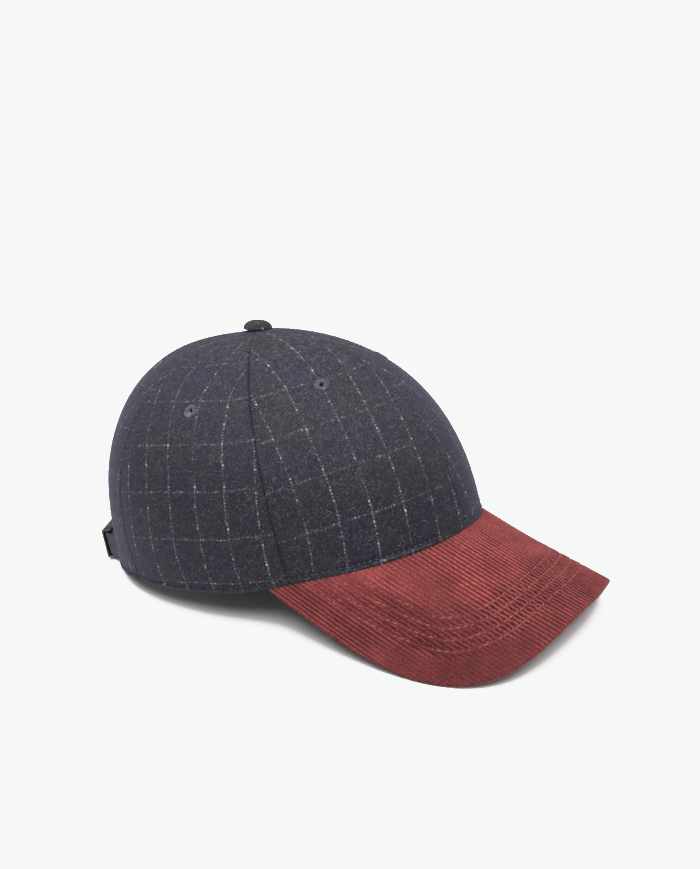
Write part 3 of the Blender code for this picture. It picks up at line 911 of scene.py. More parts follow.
def stitch_run(name, lines, stitch, pitch, material, seed):
    """Return one mesh of stitches along several lines of (points, facing)."""
    tree = stitch_tree()
    pieces = []
    for index, (points, facing) in enumerate(lines):
        row = add_piece(f"{name}_{index}", line_mesh(name, points, facing), material)
        values = {"Pitch": pitch, "Stitch": stitch, "Seed": seed + index, "Material": material}
        tree.grow_on(row, values)
        pieces.append(row)
    return join_pieces(name, pieces, material)


def join_pieces(name, pieces, material):
    """Join pieces into one mesh of one material."""
    work = bmesh.new()
    for piece in pieces:
        work.from_mesh(piece.data)
    for face in work.faces:
        face.material_index = 0
    for piece in pieces:
        remove_piece(piece)
    return add_piece(name, mesh_of(work, name), material)


def remove_piece(piece):
    """Remove a helper and its mesh."""
    mesh = piece.data
    bpy.data.objects.remove(piece)
    bpy.data.meshes.remove(mesh)


# Materials


class Look(Nodes):
    """A material with a Principled shader, and short ways to work out its colour."""

    def __init__(self, name, roughness, specular, sheen=None):
        self.material = bpy.data.materials.new(name)
        self.material.use_nodes = True
        super().__init__(self.material.node_tree)
        self.shader = self.tree.nodes["Principled BSDF"]
        self.shader.inputs["Roughness"].default_value = roughness
        self.shader.inputs["Specular IOR Level"].default_value = specular
        if sheen:
            weight, spread, tint = sheen
            self.shader.inputs["Sheen Weight"].default_value = weight
            self.shader.inputs["Sheen Roughness"].default_value = spread
            self.shader.inputs["Sheen Tint"].default_value = (*tint, 1.0)
        self.place = self.add("ShaderNodeTexCoord").outputs["Object"]

    def math(self, operation, first, second=0.0, third=0.0):
        """Return the result of a sum on numbers or sockets."""
        return self.add("ShaderNodeMath", {0: first, 1: second, 2: third}, operation=operation).outputs[0]

    def noise(self, size, detail=2.0, roughness=0.5):
        """Return noise whose grain is about a size in metres."""
        values = {"Vector": self.place, "Scale": 1.0 / size, "Detail": detail, "Roughness": roughness}
        return self.add("ShaderNodeTexNoise", values).outputs["Fac"]

    def ramp(self, value, low, high, start=0.0, stop=1.0):
        """Map a range of a value to another, with soft ends."""
        values = {"Value": value, "From Min": low, "From Max": high, "To Min": start, "To Max": stop}
        node = self.add("ShaderNodeMapRange", values, interpolation_type="SMOOTHSTEP")
        return node.outputs["Result"]

    def mix(self, share, first, second):
        """Mix two colours."""
        first, second = (c if isinstance(c, bpy.types.NodeSocket) else (*c, 1.0) for c in (first, second))
        return self.add("ShaderNodeMix", {0: share, 6: first, 7: second}, data_type="RGBA").outputs[2]

    def mix_value(self, share, first, second):
        """Mix two numbers."""
        return self.add("ShaderNodeMix", {0: share, 2: first, 3: second}, data_type="FLOAT").outputs[0]

    def shade(self, colour, share):
        """Return a colour made lighter or darker by a share, where 1 leaves it as it is."""
        return self.add("ShaderNodeVectorMath", {0: colour, "Scale": share}, operation="SCALE").outputs[0]

    def mottle(self, colour, noise, low, high, dark, light):
        """Return a colour that noise makes darker and lighter, between two shares of its tone."""
        return self.shade(colour, self.ramp(noise, low, high, dark, light))

    def specks(self, colour, size, detail, low, high, strength, speck):
        """Return a colour with specks of another one, as strong as asked for at their middle."""
        share = self.ramp(self.noise(size, detail), low, high, 0.0, strength)
        return self.mix(share, colour, speck)

    def mark(self, name):
        """Return a mark that a piece carries at its points."""
        return self.add("ShaderNodeAttribute", attribute_name=name).outputs["Fac"]

    def weave(self):
        """Return a piece's own coordinates, across its cloth and up it."""
        split = self.add("ShaderNodeSeparateXYZ", {0: self.add("ShaderNodeUVMap", uv_map="weave").outputs[0]})
        return split.outputs[0], split.outputs[1]

    def finish(self, colour, height=None, strength=0.5, depth=0.0003):
        """Set the shader's colour and its bump."""
        self.tree.links.new(colour, self.shader.inputs["Base Color"])
        if height is not None:
            bump = self.add("ShaderNodeBump", {"Height": height, "Strength": strength, "Distance": depth})
            self.tree.links.new(bump.outputs[0], self.shader.inputs["Normal"])
        return self.material


def plain_look(name):
    """Return a plain material for helpers that never show."""
    return bpy.data.materials.get(name) or bpy.data.materials.new(name)


def wool_look(name, cloth, navy, charcoal, checked, flecks=0.0):
    """Return brushed, heathered wool, with the dotted check or pale flecks where asked for."""
    look = Look(name, 0.95, 0.1, (cloth.sheen, 0.45, cloth.sheen_tint))
    grain = look.noise(GRAIN_SIZE, 2.0, roughness=0.7)
    tone = look.ramp(look.noise(CLOUD_SIZE, 1.0), 0.38, 0.62)
    if checked:
        across, up = look.weave()
        bands = look.math("ADD", band(look, across), band(look, up))
        tone = look.math("MULTIPLY_ADD", bands, 0.17, look.math("MULTIPLY", tone, 0.6))
    colour = look.mix(tone, navy, charcoal)
    height = look.add("ShaderNodeSeparateXYZ", {0: look.place}).outputs[2]
    # Painted light and shade: the wool is darker low on the wall and lighter towards the top
    colour = look.shade(colour, look.ramp(height, SHADED_BELOW, LIT_ABOVE, cloth.shaded_low_tone, cloth.lit_top_tone))
    colour = look.mottle(colour, grain, 0.25, 0.75, 0.50, 1.55)
    colour = look.mottle(colour, look.noise(PATCH_SIZE, 2.0), 0.35, 0.65, 0.88, 1.12)
    colour = look.specks(colour, GRAIN_SIZE, 1.0, 0.60, 0.76, cloth.lint, cloth.line_colour)
    if flecks:
        colour = look.specks(colour, 2.0 * GRAIN_SIZE, 1.0, 0.60, 0.72, flecks, cloth.line_colour)
    if checked:
        # Pale tufts of fuzz only near the top, partly a painted sheen of the nap
        tufts = look.ramp(look.noise(TUFT_SIZE, 2.0), 0.50, 0.66, 0.0, SHEEN_TUFTS_STRENGTH)
        tufts = look.math("MULTIPLY", tufts, look.ramp(height, SHEEN_TUFTS_BELOW, SHEEN_TUFTS_ABOVE))
        colour = look.mix(tufts, colour, cloth.line_colour)
        upright = check_line(look, across, LINE_PITCH, up, LEVEL_PITCH, cloth, UPRIGHT_STRENGTH)
        level = check_line(look, up, LEVEL_PITCH, across, LINE_PITCH, cloth, LEVEL_STRENGTH)
        line_colour = look.mix(red_share(look, across), cloth.line_colour, cloth.fleck_colour)
        colour = look.mix(level, colour, cloth.line_colour)
        colour = look.mix(upright, colour, line_colour)
        # Painted shade in the seams' folds and in the hem's groove
        colour = look.shade(colour, look.math("MULTIPLY_ADD", look.mark("fold"), -0.75, 1.0))
    return look.finish(colour, grain, 0.5, 0.0006)


def band(look, place):
    """Return which colour of band a thread lies in, 0 to 1, along one way of the cloth."""
    share = look.math("FRACT", look.math("MULTIPLY_ADD", place, 0.5, 0.25))
    away = look.math("ABSOLUTE", look.math("SUBTRACT", share, 0.5))
    return look.ramp(away, 0.20, 0.30)


def off_middle(look, place):
    """Return how far a place is from the nearest whole number, 0 to 0.5."""
    share = look.math("FRACT", look.math("ADD", place, 0.5))
    return look.math("ABSOLUTE", look.math("SUBTRACT", share, 0.5))


def check_line(look, place, pitch, along, run, cloth, strength):
    """Return how strongly a line of the check shows: as small dots, every third and sixth bright."""
    swing = LINE_WANDER / pitch
    wander = look.math("MULTIPLY_ADD", look.noise(0.003, 2.0), swing, -0.5 * swing)
    away = off_middle(look, look.math("ADD", place, wander))
    width = cloth.line_width / pitch
    line = look.ramp(away, 0.2 * width, 0.75 * width, 1.0, 0.0)
    drift = look.math("MULTIPLY", look.noise(0.006, 1.0), 2.0)
    beat = look.math("MULTIPLY_ADD", along, run / cloth.dot_pitch, drift)
    dot = look.ramp(off_middle(look, beat), 0.14, 0.40, 1.0, 0.10)
    bright = look.ramp(off_middle(look, look.math("DIVIDE", beat, 3.0)), 0.10, 0.22, 1.0, 0.42)
    brighter = look.ramp(off_middle(look, look.math("DIVIDE", beat, 6.0)), 0.12, 0.30, 1.0, 0.55)
    fade = look.ramp(look.noise(0.0050, 2.0), 0.38, 0.62, 0.18, 1.0)
    shown = strength
    for share in (fade, brighter, bright, dot, line):
        shown = look.math("MULTIPLY", shown, share)
    return shown


def red_share(look, across):
    """Return where every second upright line is crimson: in small flecks along its length."""
    away = off_middle(look, look.math("MULTIPLY", across, 0.5))
    every_second = look.math("LESS_THAN", away, 0.2)
    flecks = look.ramp(look.noise(0.0022, 0.0), 0.60, 0.66)
    return look.math("MULTIPLY", every_second, flecks)


def corduroy_look(peak):
    """Return corduroy: light on the crests of its ribs and dark between them, partly as painted shade in the
    grooves, and flat where brushed.
    """
    look = Look("corduroy", 0.9, 0.1, (0.12, 0.4, (1.0, 0.60, 0.56)))
    across, _ = look.weave()
    sewn, brushed, crinkle, deep, tone = (
        look.mark(name) for name in ("sewn", "brushed", "crinkle", "deep", "tone")
    )
    ridge = look.math("ABSOLUTE", look.math("SINE", look.math("MULTIPLY", across, math.pi)))
    pile = look.noise(0.0009, 3.0, roughness=0.6)
    light = look.ramp(look.math("MULTIPLY_ADD", pile, 0.5, ridge), 0.50, 1.35)
    light = look.mix_value(look.math("MULTIPLY", deep, 0.7), light, look.ramp(ridge, 0.35, 1.0))
    spots = look.ramp(look.noise(0.0011, 1.0), 0.40, 0.60, 0.70, 0.05)
    lost = look.math("MULTIPLY", crinkle, spots)
    light = look.math("MULTIPLY", light, look.math("SUBTRACT", 1.0, lost))
    light = look.mix_value(look.math("MULTIPLY", sewn, 0.75), light, 0.62)
    light = look.mix_value(look.math("MULTIPLY", brushed, 0.85), light, 0.50)
    colour = look.mix(light, peak.groove_colour, peak.pile_colour)
    colour = look.mottle(colour, look.noise(0.013, 2.0), 0.3, 0.7, 0.86, 1.14)
    colour = look.mottle(colour, pile, 0.3, 0.7, 0.68, 1.32)
    # Painted shade: the grooves are darkened further where the ribs are deep
    cut = look.math("MULTIPLY", deep, look.ramp(ridge, 0.20, 0.75, 0.50, 0.0))
    colour = look.shade(colour, look.math("SUBTRACT", 1.12, cut))
    colour = look.shade(colour, look.math("ADD", tone, 1.0))
    return look.finish(colour, pile, 0.45, 0.0005)


def thread_look(name, colour, sheen):
    """Return twisted thread with small changes of tone."""
    look = Look(name, 0.6, 0.3, (sheen, 0.3, (1.0, 1.0, 1.0)))
    twist = look.noise(0.0006, 2.0)
    drift = look.noise(0.0045, 1.0)
    tone = look.mix(drift, tuple(0.8 * c for c in colour), tuple(1.2 * c for c in colour))
    return look.finish(look.mottle(tone, twist, 0.3, 0.7, 0.7, 1.3), twist, 0.4, 0.0002)


def metal_look(trim):
    """Return dark antiqued metal, rubbed brighter in patches."""
    look = Look("buckle_metal", 0.45, 0.5)
    look.shader.inputs["Metallic"].default_value = 1.0
    grain = look.noise(0.0005, 3.0)
    rub = look.noise(0.0040, 3.0)
    colour = look.mix(look.ramp(rub, 0.45, 0.80), trim.metal_colour, trim.rubbed_colour)
    colour = look.mottle(colour, grain, 0.3, 0.7, 0.85, 1.15)
    rough = look.ramp(rub, 0.35, 0.7, 0.60, 0.42)
    look.tree.links.new(rough, look.shader.inputs["Roughness"])
    return look.finish(colour, grain, 0.12, 0.0002)


# Settings


def length_setting(name, description, default):
    """Return a setting that is a length in metres."""
    return FloatProperty(name=name, description=description, default=default, unit="LENGTH")


def angle_setting(name, description, degrees):
    """Return a setting that is an angle."""
    return FloatProperty(
        name=name, description=description, default=math.radians(degrees), subtype="ANGLE"
    )


def colour_setting(name, description, default):
    """Return a setting that is a colour."""
    return FloatVectorProperty(
        name=name, description=description, default=default, subtype="COLOR", min=0.0, max=1.0
    )


class CapCloth(bpy.types.PropertyGroup):
    """The wool of the crown, the button and the strap."""

    thickness: length_setting("Thickness", "Thickness of the crown's cloth", 0.0019)
    seam_roll: length_setting("Seam Roll", "How deep the cloth rolls into a seam", 0.0009)
    hem_height: length_setting("Hem Height", "Height of the stitched groove over the rim", 0.0036)
    hem_depth: length_setting("Hem Depth", "Depth of the stitched groove", 0.0006)
    line_width: length_setting("Line Width", "Width of the check's lines", 0.0009)
    dot_pitch: length_setting("Dot Pitch", "Distance from dot to dot in the check's lines", 0.0018)
    # Painted shade near the rim and painted light near the top, as shares of the wool's tone
    shaded_low_tone: FloatProperty(name="Low Tone", description="Tone of the wool near the rim", default=0.72)
    lit_top_tone: FloatProperty(name="Top Tone", description="Tone of the wool near the top", default=1.57)
    lint: FloatProperty(
        name="Lint", description="How strongly pale specks show in the wool", default=0.06
    )
    nap_density: FloatProperty(
        name="Nap Density", description="Loose fibres on each square metre", default=1.1e6
    )
    curl_density: FloatProperty(
        name="Curl Density", description="Long pale fibres on each square metre", default=2.4e4
    )
    sheen: FloatProperty(
        name="Sheen", description="How much light the nap catches at grazing angles", default=0.085
    )
    navy: colour_setting("Navy", "The bluer bands of the wool", (0.0129, 0.0124, 0.0190))
    charcoal: colour_setting("Charcoal", "The greyer bands of the wool", (0.0142, 0.0138, 0.0150))
    button_colour: colour_setting("Button", "The wool of the button", (0.0130, 0.0140, 0.0140))
    line_colour: colour_setting("Lines", "The pale thread of the check", (0.48, 0.49, 0.51))
    fleck_colour: colour_setting("Flecks", "The crimson thread of the check", (0.40, 0.03, 0.07))
    sheen_tint: colour_setting("Sheen Tint", "Colour of the nap's sheen", (0.62, 0.60, 0.90))


class CapPeak(bpy.types.PropertyGroup):
    """The corduroy of the peak and its rows of stitching."""

    rib_pitch: length_setting("Rib Pitch", "Distance from rib to rib", 0.0025)
    rib_height: length_setting("Rib Height", "Height of the ribs", 0.00055)
    row_count: IntProperty(name="Rows", description="Rows of stitching round the peak", default=4, min=1)
    row_inset: length_setting("Row Inset", "Outermost row to the peak's edge", 0.0142)
    row_turn_in: length_setting("Row Turn In", "How much farther in the rows run at the sides", 0.0034)
    row_gap_front: length_setting("Row Gap Front", "Row to row at the front", 0.0051)
    row_gap_side: length_setting("Row Gap Side", "Row to row at the sides", 0.0060)
    stitch_pitch: length_setting("Stitch Pitch", "Stitch to stitch along a row", 0.0039)
    stitch_length: length_setting("Stitch Length", "Length of a stitch on top", 0.0031)
    stitch_radius: length_setting("Thread Radius", "Radius of the stitching thread", 0.00022)
    pile_colour: colour_setting("Pile", "The light top of the ribs", (0.145, 0.0315, 0.0310))
    groove_colour: colour_setting("Grooves", "The cloth between the ribs", (0.051, 0.0080, 0.0088))
    thread_colour: colour_setting("Thread", "The stitching on the peak", (0.23, 0.062, 0.062))


class CapTrim(bpy.types.PropertyGroup):
    """The button, the eyelets, the strap and the buckle."""

    button_radius: length_setting("Button Radius", "Radius of the button", 0.0077)
    button_height: length_setting("Button Height", "Height of the button", 0.0061)
    eyelet_radius: length_setting("Eyelet Radius", "Outer radius of an eyelet", 0.0039)
    eyelet_hole: length_setting("Eyelet Hole", "Radius of an eyelet's hole", 0.0014)
    eyelet_threads: IntProperty(
        name="Eyelet Threads", description="Stitches round an eyelet", default=52, min=8
    )
    eyelet_colour: colour_setting("Eyelet Thread", "The satin stitch", (0.038, 0.038, 0.056))
    metal_colour: colour_setting("Metal", "The buckle's dark finish", (0.055, 0.052, 0.043))
    rubbed_colour: colour_setting("Rubbed Metal", "Where the finish has worn", (0.110, 0.100, 0.075))
    tab_colour: colour_setting("Tab", "The wool of the tab", (0.034, 0.037, 0.056))


class CapStage(bpy.types.PropertyGroup):
    """The floor, the light and the camera."""

    floor_size: length_setting("Floor", "Side of the floor", 60.0)
    floor_colour: colour_setting("Floor Colour", "Colour of the floor", (0.86, 0.87, 0.865))
    paper_white: colour_setting(
        "Paper White", "The brightest tone of the picture", (0.9131, 0.9387, 0.9301)
    )
    sky: FloatProperty(name="Sky", description="Strength of the even light", default=0.54)
    lamp: FloatProperty(name="Lamp", description="Strength of the soft light from above", default=7.0)
    lamp_angle: angle_setting("Lamp Angle", "How wide the soft light is", 45.0)
    lamp_azimuth: angle_setting("Lamp Azimuth", "The lamp's turn about the cap", -61.0)
    lamp_elevation: angle_setting("Lamp Elevation", "The lamp's angle over the table", 56.0)
    azimuth: angle_setting("Azimuth", "Camera's turn about the cap", -58.487)
    elevation: angle_setting("Elevation", "Camera's angle over the table", 19.454)
    distance: length_setting("Distance", "Camera to its target", 1.0)
    aside: length_setting("Aside", "Target to the right of the rim's middle", 0.02784)
    above: length_setting("Above", "Target above the rim's middle", 0.05908)
    focal: FloatProperty(name="Focal Length", description="In millimetres", default=94.18)


# The crown


def close_then_even(width, near, count):
    """Return shares across a width: close at both ends, even between."""
    near = near * np.minimum(1.0, width / (3.0 * near[-1]))
    start = near / width
    middle = np.linspace(0.0, 1.0, count + 2)[1:-1]
    middle = start[..., -1:] + (1.0 - 2.0 * start[..., -1:]) * middle
    return np.concatenate([start, middle, 1.0 - start[..., ::-1]], axis=-1)


def panel_lattice(panel):
    """Return the angles and rises of a panel's points, close at its seams and its rim."""
    near_seam = np.array([0.0, 0.12, 0.35, 0.65, 1.05, 1.7, 2.6, 3.8]) * MM
    near_rim = np.array([0.0, 0.2, 0.5, 0.9, 1.4, 2.0, 2.6, 3.1, 3.5, 3.9, 4.4, 5.0, 5.8, 7.0]) * MM
    ends = PANELS[panel]
    top = seam_angle(ends["from"], 1.0), seam_angle(ends["to"], 1.0)
    middle = 0.5 * (top[0] + top[1])
    rises = np.linspace(1.0, 0.8, 80)
    spans = np.linalg.norm((crown_points(middle, rises) - crown_points(middle, 1.0))[:, :2], axis=1)
    last = float(np.interp(TOP_HOLE_RADIUS, spans, rises))
    rise = np.linspace(0.0, last, PANEL_ROWS)[:, None]
    for _ in range(4):
        start, stop = seam_angle(ends["from"], rise), seam_angle(ends["to"], rise)
        width = (MEASURE.across(stop, rise) - MEASURE.across(start, rise))[:, :1]
        shares = close_then_even(width, near_seam, PANEL_COLUMNS)
        start, stop = start[:, :1], stop[:, :1]
        angle = start + (stop - start) * shares
        total = MEASURE.height(angle, last)
        upper = np.linspace(0.0, 1.0, PANEL_ROWS - len(near_rim) + 1)[1:, None]
        height = np.concatenate(
            [near_rim[:, None] + 0.0 * total[:1], near_rim[-1] + upper * (total[:1] - near_rim[-1])]
        )
        rise = MEASURE.rise_at(angle, height)
        rise[-1] = last
    start, stop = seam_angle(ends["from"], rise), seam_angle(ends["to"], rise)
    angle = start + (stop - start) * shares
    return angle, rise, start, stop


def cloth_swell(points):
    """Return the slow swells of the soft cloth, a fraction of a millimetre."""
    x, y, z = points[..., 0], points[..., 1], points[..., 2]
    swell = sum(w["share"] * np.sin(w["x"] * x + w["y"] * y + w["z"] * z + w["start"]) for w in SWELLS)
    bunch = hump(np.hypot(x - BUNCH_PLACE[0], y - BUNCH_PLACE[1]), BUNCH_SPREAD)
    bunch = bunch * (z > 0.5 * CROWN_HEIGHT)
    return SWELL_HEIGHT * swell + BUNCH_HEIGHT * bunch


def panel_points(panel, side, cloth):
    """Return the outer and inner points of a panel, its weave and the measures on it."""
    angle, rise, start, stop = panel_lattice(panel)
    points = crown_points(angle, rise)
    normals = crown_normals(angle, np.minimum(rise, 0.985))
    height = MEASURE.height(angle, rise)
    across = MEASURE.across(angle, rise)
    from_start = across - MEASURE.across(start, rise)
    from_stop = MEASURE.across(stop, rise) - across
    seam = np.minimum(from_start, from_stop)
    dropped = roll_off(seam, cloth.seam_roll) + roll_off(height, RIM_ROLL)
    groove = cloth.hem_depth * hump(height - cloth.hem_height, 0.7 * MM)
    lip = 0.35 * MM * hump(height - 0.55 * cloth.hem_height, 1.0 * MM)
    pucker = 0.10 * MM * np.sin(height / (0.95 * MM)) * hump(seam - 1.6 * MM, 1.6 * MM)
    pucker = pucker + 0.10 * MM * np.sin(across / (0.9 * MM)) * hump(height - 4.6 * MM, 1.6 * MM)
    swell = cloth_swell(on_side(points, side)) * ease(height, 0.0, 0.02)
    outer = points + (lip + swell + pucker - dropped - groove)[..., None] * normals
    allowance = ALLOWANCE_THICKNESS * (1.0 - ease(seam, ALLOWANCE_REACH, SEWN_STEP))
    turned_in = TURN_THICKNESS * (1.0 - ease(height, TURN_REACH, SEWN_STEP))
    sewn = np.maximum(allowance, turned_in) * ease(np.minimum(seam, height), 0.0, SEWN_STEP)
    sewn = sewn * ease(np.hypot(points[..., 0], points[..., 1]), 2.0 * MM, 6.0 * MM)
    inner = points - (cloth.thickness + sewn - swell)[..., None] * normals
    # fold: painted shade in the seams' folds and in the hem's groove, stronger on the sides
    side_share = ease(np.abs(angle), PEAK_END - 0.04, 0.08)
    quiet = {"front": from_start, "side": from_stop, "back": from_start}[panel]
    shown = np.where(quiet <= seam, QUIET_SEAM_SHADE, CLEAR_SEAM_SHADE) * (1.0 - 0.6 * ease(rise, 0.72, 0.16))
    fold = np.maximum(
        shown * hump(seam, 0.7 * MM), (0.4 + 0.4 * side_share) * hump(height - 4.0 * MM, 0.7 * MM)
    )
    grain = PANELS[panel]["grain"]
    thread = np.radians(np.interp(rise, list(grain), list(grain.values())))
    offset = across - MEASURE.across(thread, rise)
    check = CHECK[panel, side]
    sag = 0.02 * offset + 1.0 * offset**2
    weave = np.stack(
        [offset / check["across"] + check["move"], (height + sag) / check["up"] - check["lift"]], -1
    )
    return to_world(on_side(outer, side)), to_world(on_side(inner, side)), weave, points, fold


def opening_prism():
    """Add the prism that cuts the arched opening, through both back panels."""
    start, depth, below = 0.05, 0.10, -0.01
    arch = [arch_place(turn) for turn in np.linspace(0.0, math.pi, 41)]
    outline = [(OPENING_HALF_WIDTH, below), *arch, (-OPENING_HALF_WIDTH, below)]
    work = bmesh.new()
    near = [work.verts.new((x, start, z)) for x, z in outline]
    face = work.faces.new(near)
    grown = bmesh.ops.extrude_face_region(work, geom=[face])
    moved = [item for item in grown["geom"] if isinstance(item, bmesh.types.BMVert)]
    bmesh.ops.translate(work, vec=(0.0, depth, 0.0), verts=moved)
    bmesh.ops.recalc_face_normals(work, faces=work.faces)
    mesh = mesh_of(work, "opening_prism")
    mesh.transform(rest_matrix())
    return add_piece("opening_prism", mesh, plain_look("stitch_to_copy"))


def arch_place(turn):
    """Return x and height of the arch's edge, from the wearer's left over to the right."""
    return (
        OPENING_HALF_WIDTH * math.cos(turn),
        OPENING_SIDE_HEIGHT + OPENING_HEAD_HEIGHT * math.sin(turn),
    )


def rest_matrix():
    """Return the matrix from the cap's own frame to its resting place."""
    return Matrix.Translation((0.0, REST_SHIFT, REST_LIFT)) @ Matrix.Rotation(-REST_LEAN, 4, "X")


class CAP_OT_crown(bpy.types.Operator):
    """Build the six wool panels of the crown"""

    bl_idname = "cap.crown"
    bl_label = "Crown Panels"

    def execute(self, context):
        cloth = context.scene.cap_cloth
        look = wool_look("checked_wool", cloth, tuple(cloth.navy), tuple(cloth.charcoal), True)
        for panel, side in EACH_PANEL:
            outer, inner, weave, flat, fold = panel_points(panel, side, cloth)
            spot = crown_points(math.radians(PANELS[panel]["eyelet_angle"]), PANELS[panel]["eyelet_rise"])
            away = np.linalg.norm(flat - spot, axis=-1)
            away = 0.25 * (away[1:, 1:] + away[:-1, 1:] + away[1:, :-1] + away[:-1, :-1])
            # fold carries the painted shade of the seams and the hem's groove, where the nap is also thinner
            marks = {"outside": (1.0 - 0.8 * fold, 0.0 * fold), "fold": (fold, 0.0 * fold)}
            name = f"cloth_{panel}_{side}"
            mesh = shell_mesh(name, outer, inner, weave, marks, away > EYELET_CLEARING, side == "left")
            piece = add_piece(name, mesh, look)
            if panel == "back":
                use_tool(piece, opening_prism(), "DIFFERENCE")
            settle(piece, "crown_wool", f"{panel}_panel_{side}")
        return {"FINISHED"}


class CAP_OT_nap(bpy.types.Operator):
    """Scatter loose fibres over the crown's cloth"""

    bl_idname = "cap.nap"
    bl_label = "Nap"

    def execute(self, context):
        cloth = context.scene.cap_cloth
        look = Look("nap_wool", 0.95, 0.05, (0.3, 0.4, tuple(cloth.sheen_tint)))
        tone = look.noise(0.0025, 2.0)
        colour = look.mix(look.ramp(tone, 0.35, 0.65), (0.014, 0.014, 0.022), (0.050, 0.050, 0.066))
        material = look.finish(colour)
        pale = Look("pale_wool", 0.95, 0.05, (0.2, 0.4, tuple(cloth.sheen_tint)))
        pale_material = pale.finish(pale.mix(pale.noise(0.002, 1.0), (0.06, 0.06, 0.08), (0.22, 0.22, 0.26)))
        fibre = self.add_fibre("fibre", 1.35 * MM, 0.028 * MM, 3, 0.25 * MM, material)
        curl = self.add_fibre("curl", 3.2 * MM, 0.034 * MM, 7, 0.75 * MM, pale_material)
        tree = nap_tree()
        leaning = {"Least Tilt": 0.9, "Most Tilt": 1.45}
        lying = {"Least Tilt": 1.40, "Most Tilt": 1.53}
        for number, (panel, side) in enumerate(EACH_PANEL):
            for kind, item, density, seed, finish, tilts in (
                ("nap", fibre, cloth.nap_density, number, material, leaning),
                ("curls", curl, cloth.curl_density, 50 + number, pale_material, lying),
            ):
                cloth_mesh = bpy.data.objects[f"cloth_{panel}_{side}"].data
                piece = add_piece(f"{kind}_{panel}_{side}", cloth_mesh.copy(), finish)
                values = {"Density": density, "Fibre": item, "Seed": seed, "Material": finish}
                tree.grow_on(piece, {**values, **tilts})
                settle(piece, "crown_wool")
        remove_piece(fibre)
        remove_piece(curl)
        return {"FINISHED"}

    def add_fibre(self, name, length, half_width, steps, bend, material):
        """Add a bent fibre: a narrow strip that stands on its root and faces outward."""
        points = []
        faces = []
        for step in range(steps + 1):
            share = step / steps
            middle = bend * math.sin(2.4 * share + 1.1 * share**3) * share
            lift = 0.10 * length * math.sin(math.pi * share)
            wide = half_width * (1.0 - 0.7 * share**3)
            points.append((middle - wide, lift, length * share))
            points.append((middle + wide, lift, length * share))
            if step:
                first = 2 * step - 2
                faces.append((first + 1, first, first + 2, first + 3))
        mesh = bpy.data.meshes.new(name)
        mesh.from_pydata(points, [], faces)
        return add_piece(name, mesh, material)


def crown_line(start, stop, height, side, lift, step=0.8 * MM):
    """Return points along the crown at a height over the rim, and the cloth's directions."""
    length = abs(MEASURE.across(stop, 0.0) - MEASURE.across(start, 0.0))
    angle = np.linspace(start, stop, max(int(length / step), 2))
    rise = MEASURE.rise_at(angle, height)
    normals = crown_normals(angle, rise)
    points = crown_points(angle, rise) + lift * normals
    return to_world(on_side(points, side)), directions_to_world(on_side(normals, side))


def opening_line(grow, out):
    """Return points round the arched opening and down to the rim beside it, and the cloth's directions."""
    tree = BVHTree.FromObject(bpy.data.objects["solid_back"], bpy.context.evaluated_depsgraph_get())
    matrix = rest_matrix()
    past = 0.16
    points, normals = [], []
    for turn in np.linspace(-past, math.pi + past, 150):
        bounded = min(max(turn, 0.0), math.pi)
        x = (OPENING_HALF_WIDTH + grow) * math.cos(bounded)
        z = OPENING_SIDE_HEIGHT + (OPENING_HEAD_HEIGHT + grow) * math.sin(bounded)
        z -= 0.98 * OPENING_SIDE_HEIGHT * abs(turn - bounded) / past
        origin = matrix @ Vector((x, 0.2, z))
        hit, normal, _, _ = tree.ray_cast(origin, matrix.to_3x3() @ Vector((0.0, -1.0, 0.0)))
        if hit is None:
            raise RuntimeError("the opening's edge misses the back panels")
        points.append(hit + out * normal)
        normals.append(normal)
    return np.array([tuple(p) for p in points]), np.array([tuple(n) for n in normals])


def add_back_guide():
    """Add a smooth sheet of the whole back to place things on."""
    angle = np.linspace(math.radians(125.0), math.radians(235.0), 120)[None, :]
    rise = np.linspace(0.0, 0.5, 60)[:, None]
    folded = np.where(angle > math.pi, 2.0 * math.pi - angle, angle)
    points = crown_points(folded, rise)
    points = points * np.where(angle > math.pi, -1.0, 1.0)[..., None] ** np.array([1.0, 0.0, 0.0])
    quads = cells(*points.shape[:2]).reshape(-1, 4)
    mesh = numpy_mesh("solid_back", to_world(points), quads, {})
    return add_piece("solid_back", mesh, plain_look("stitch_to_copy"))


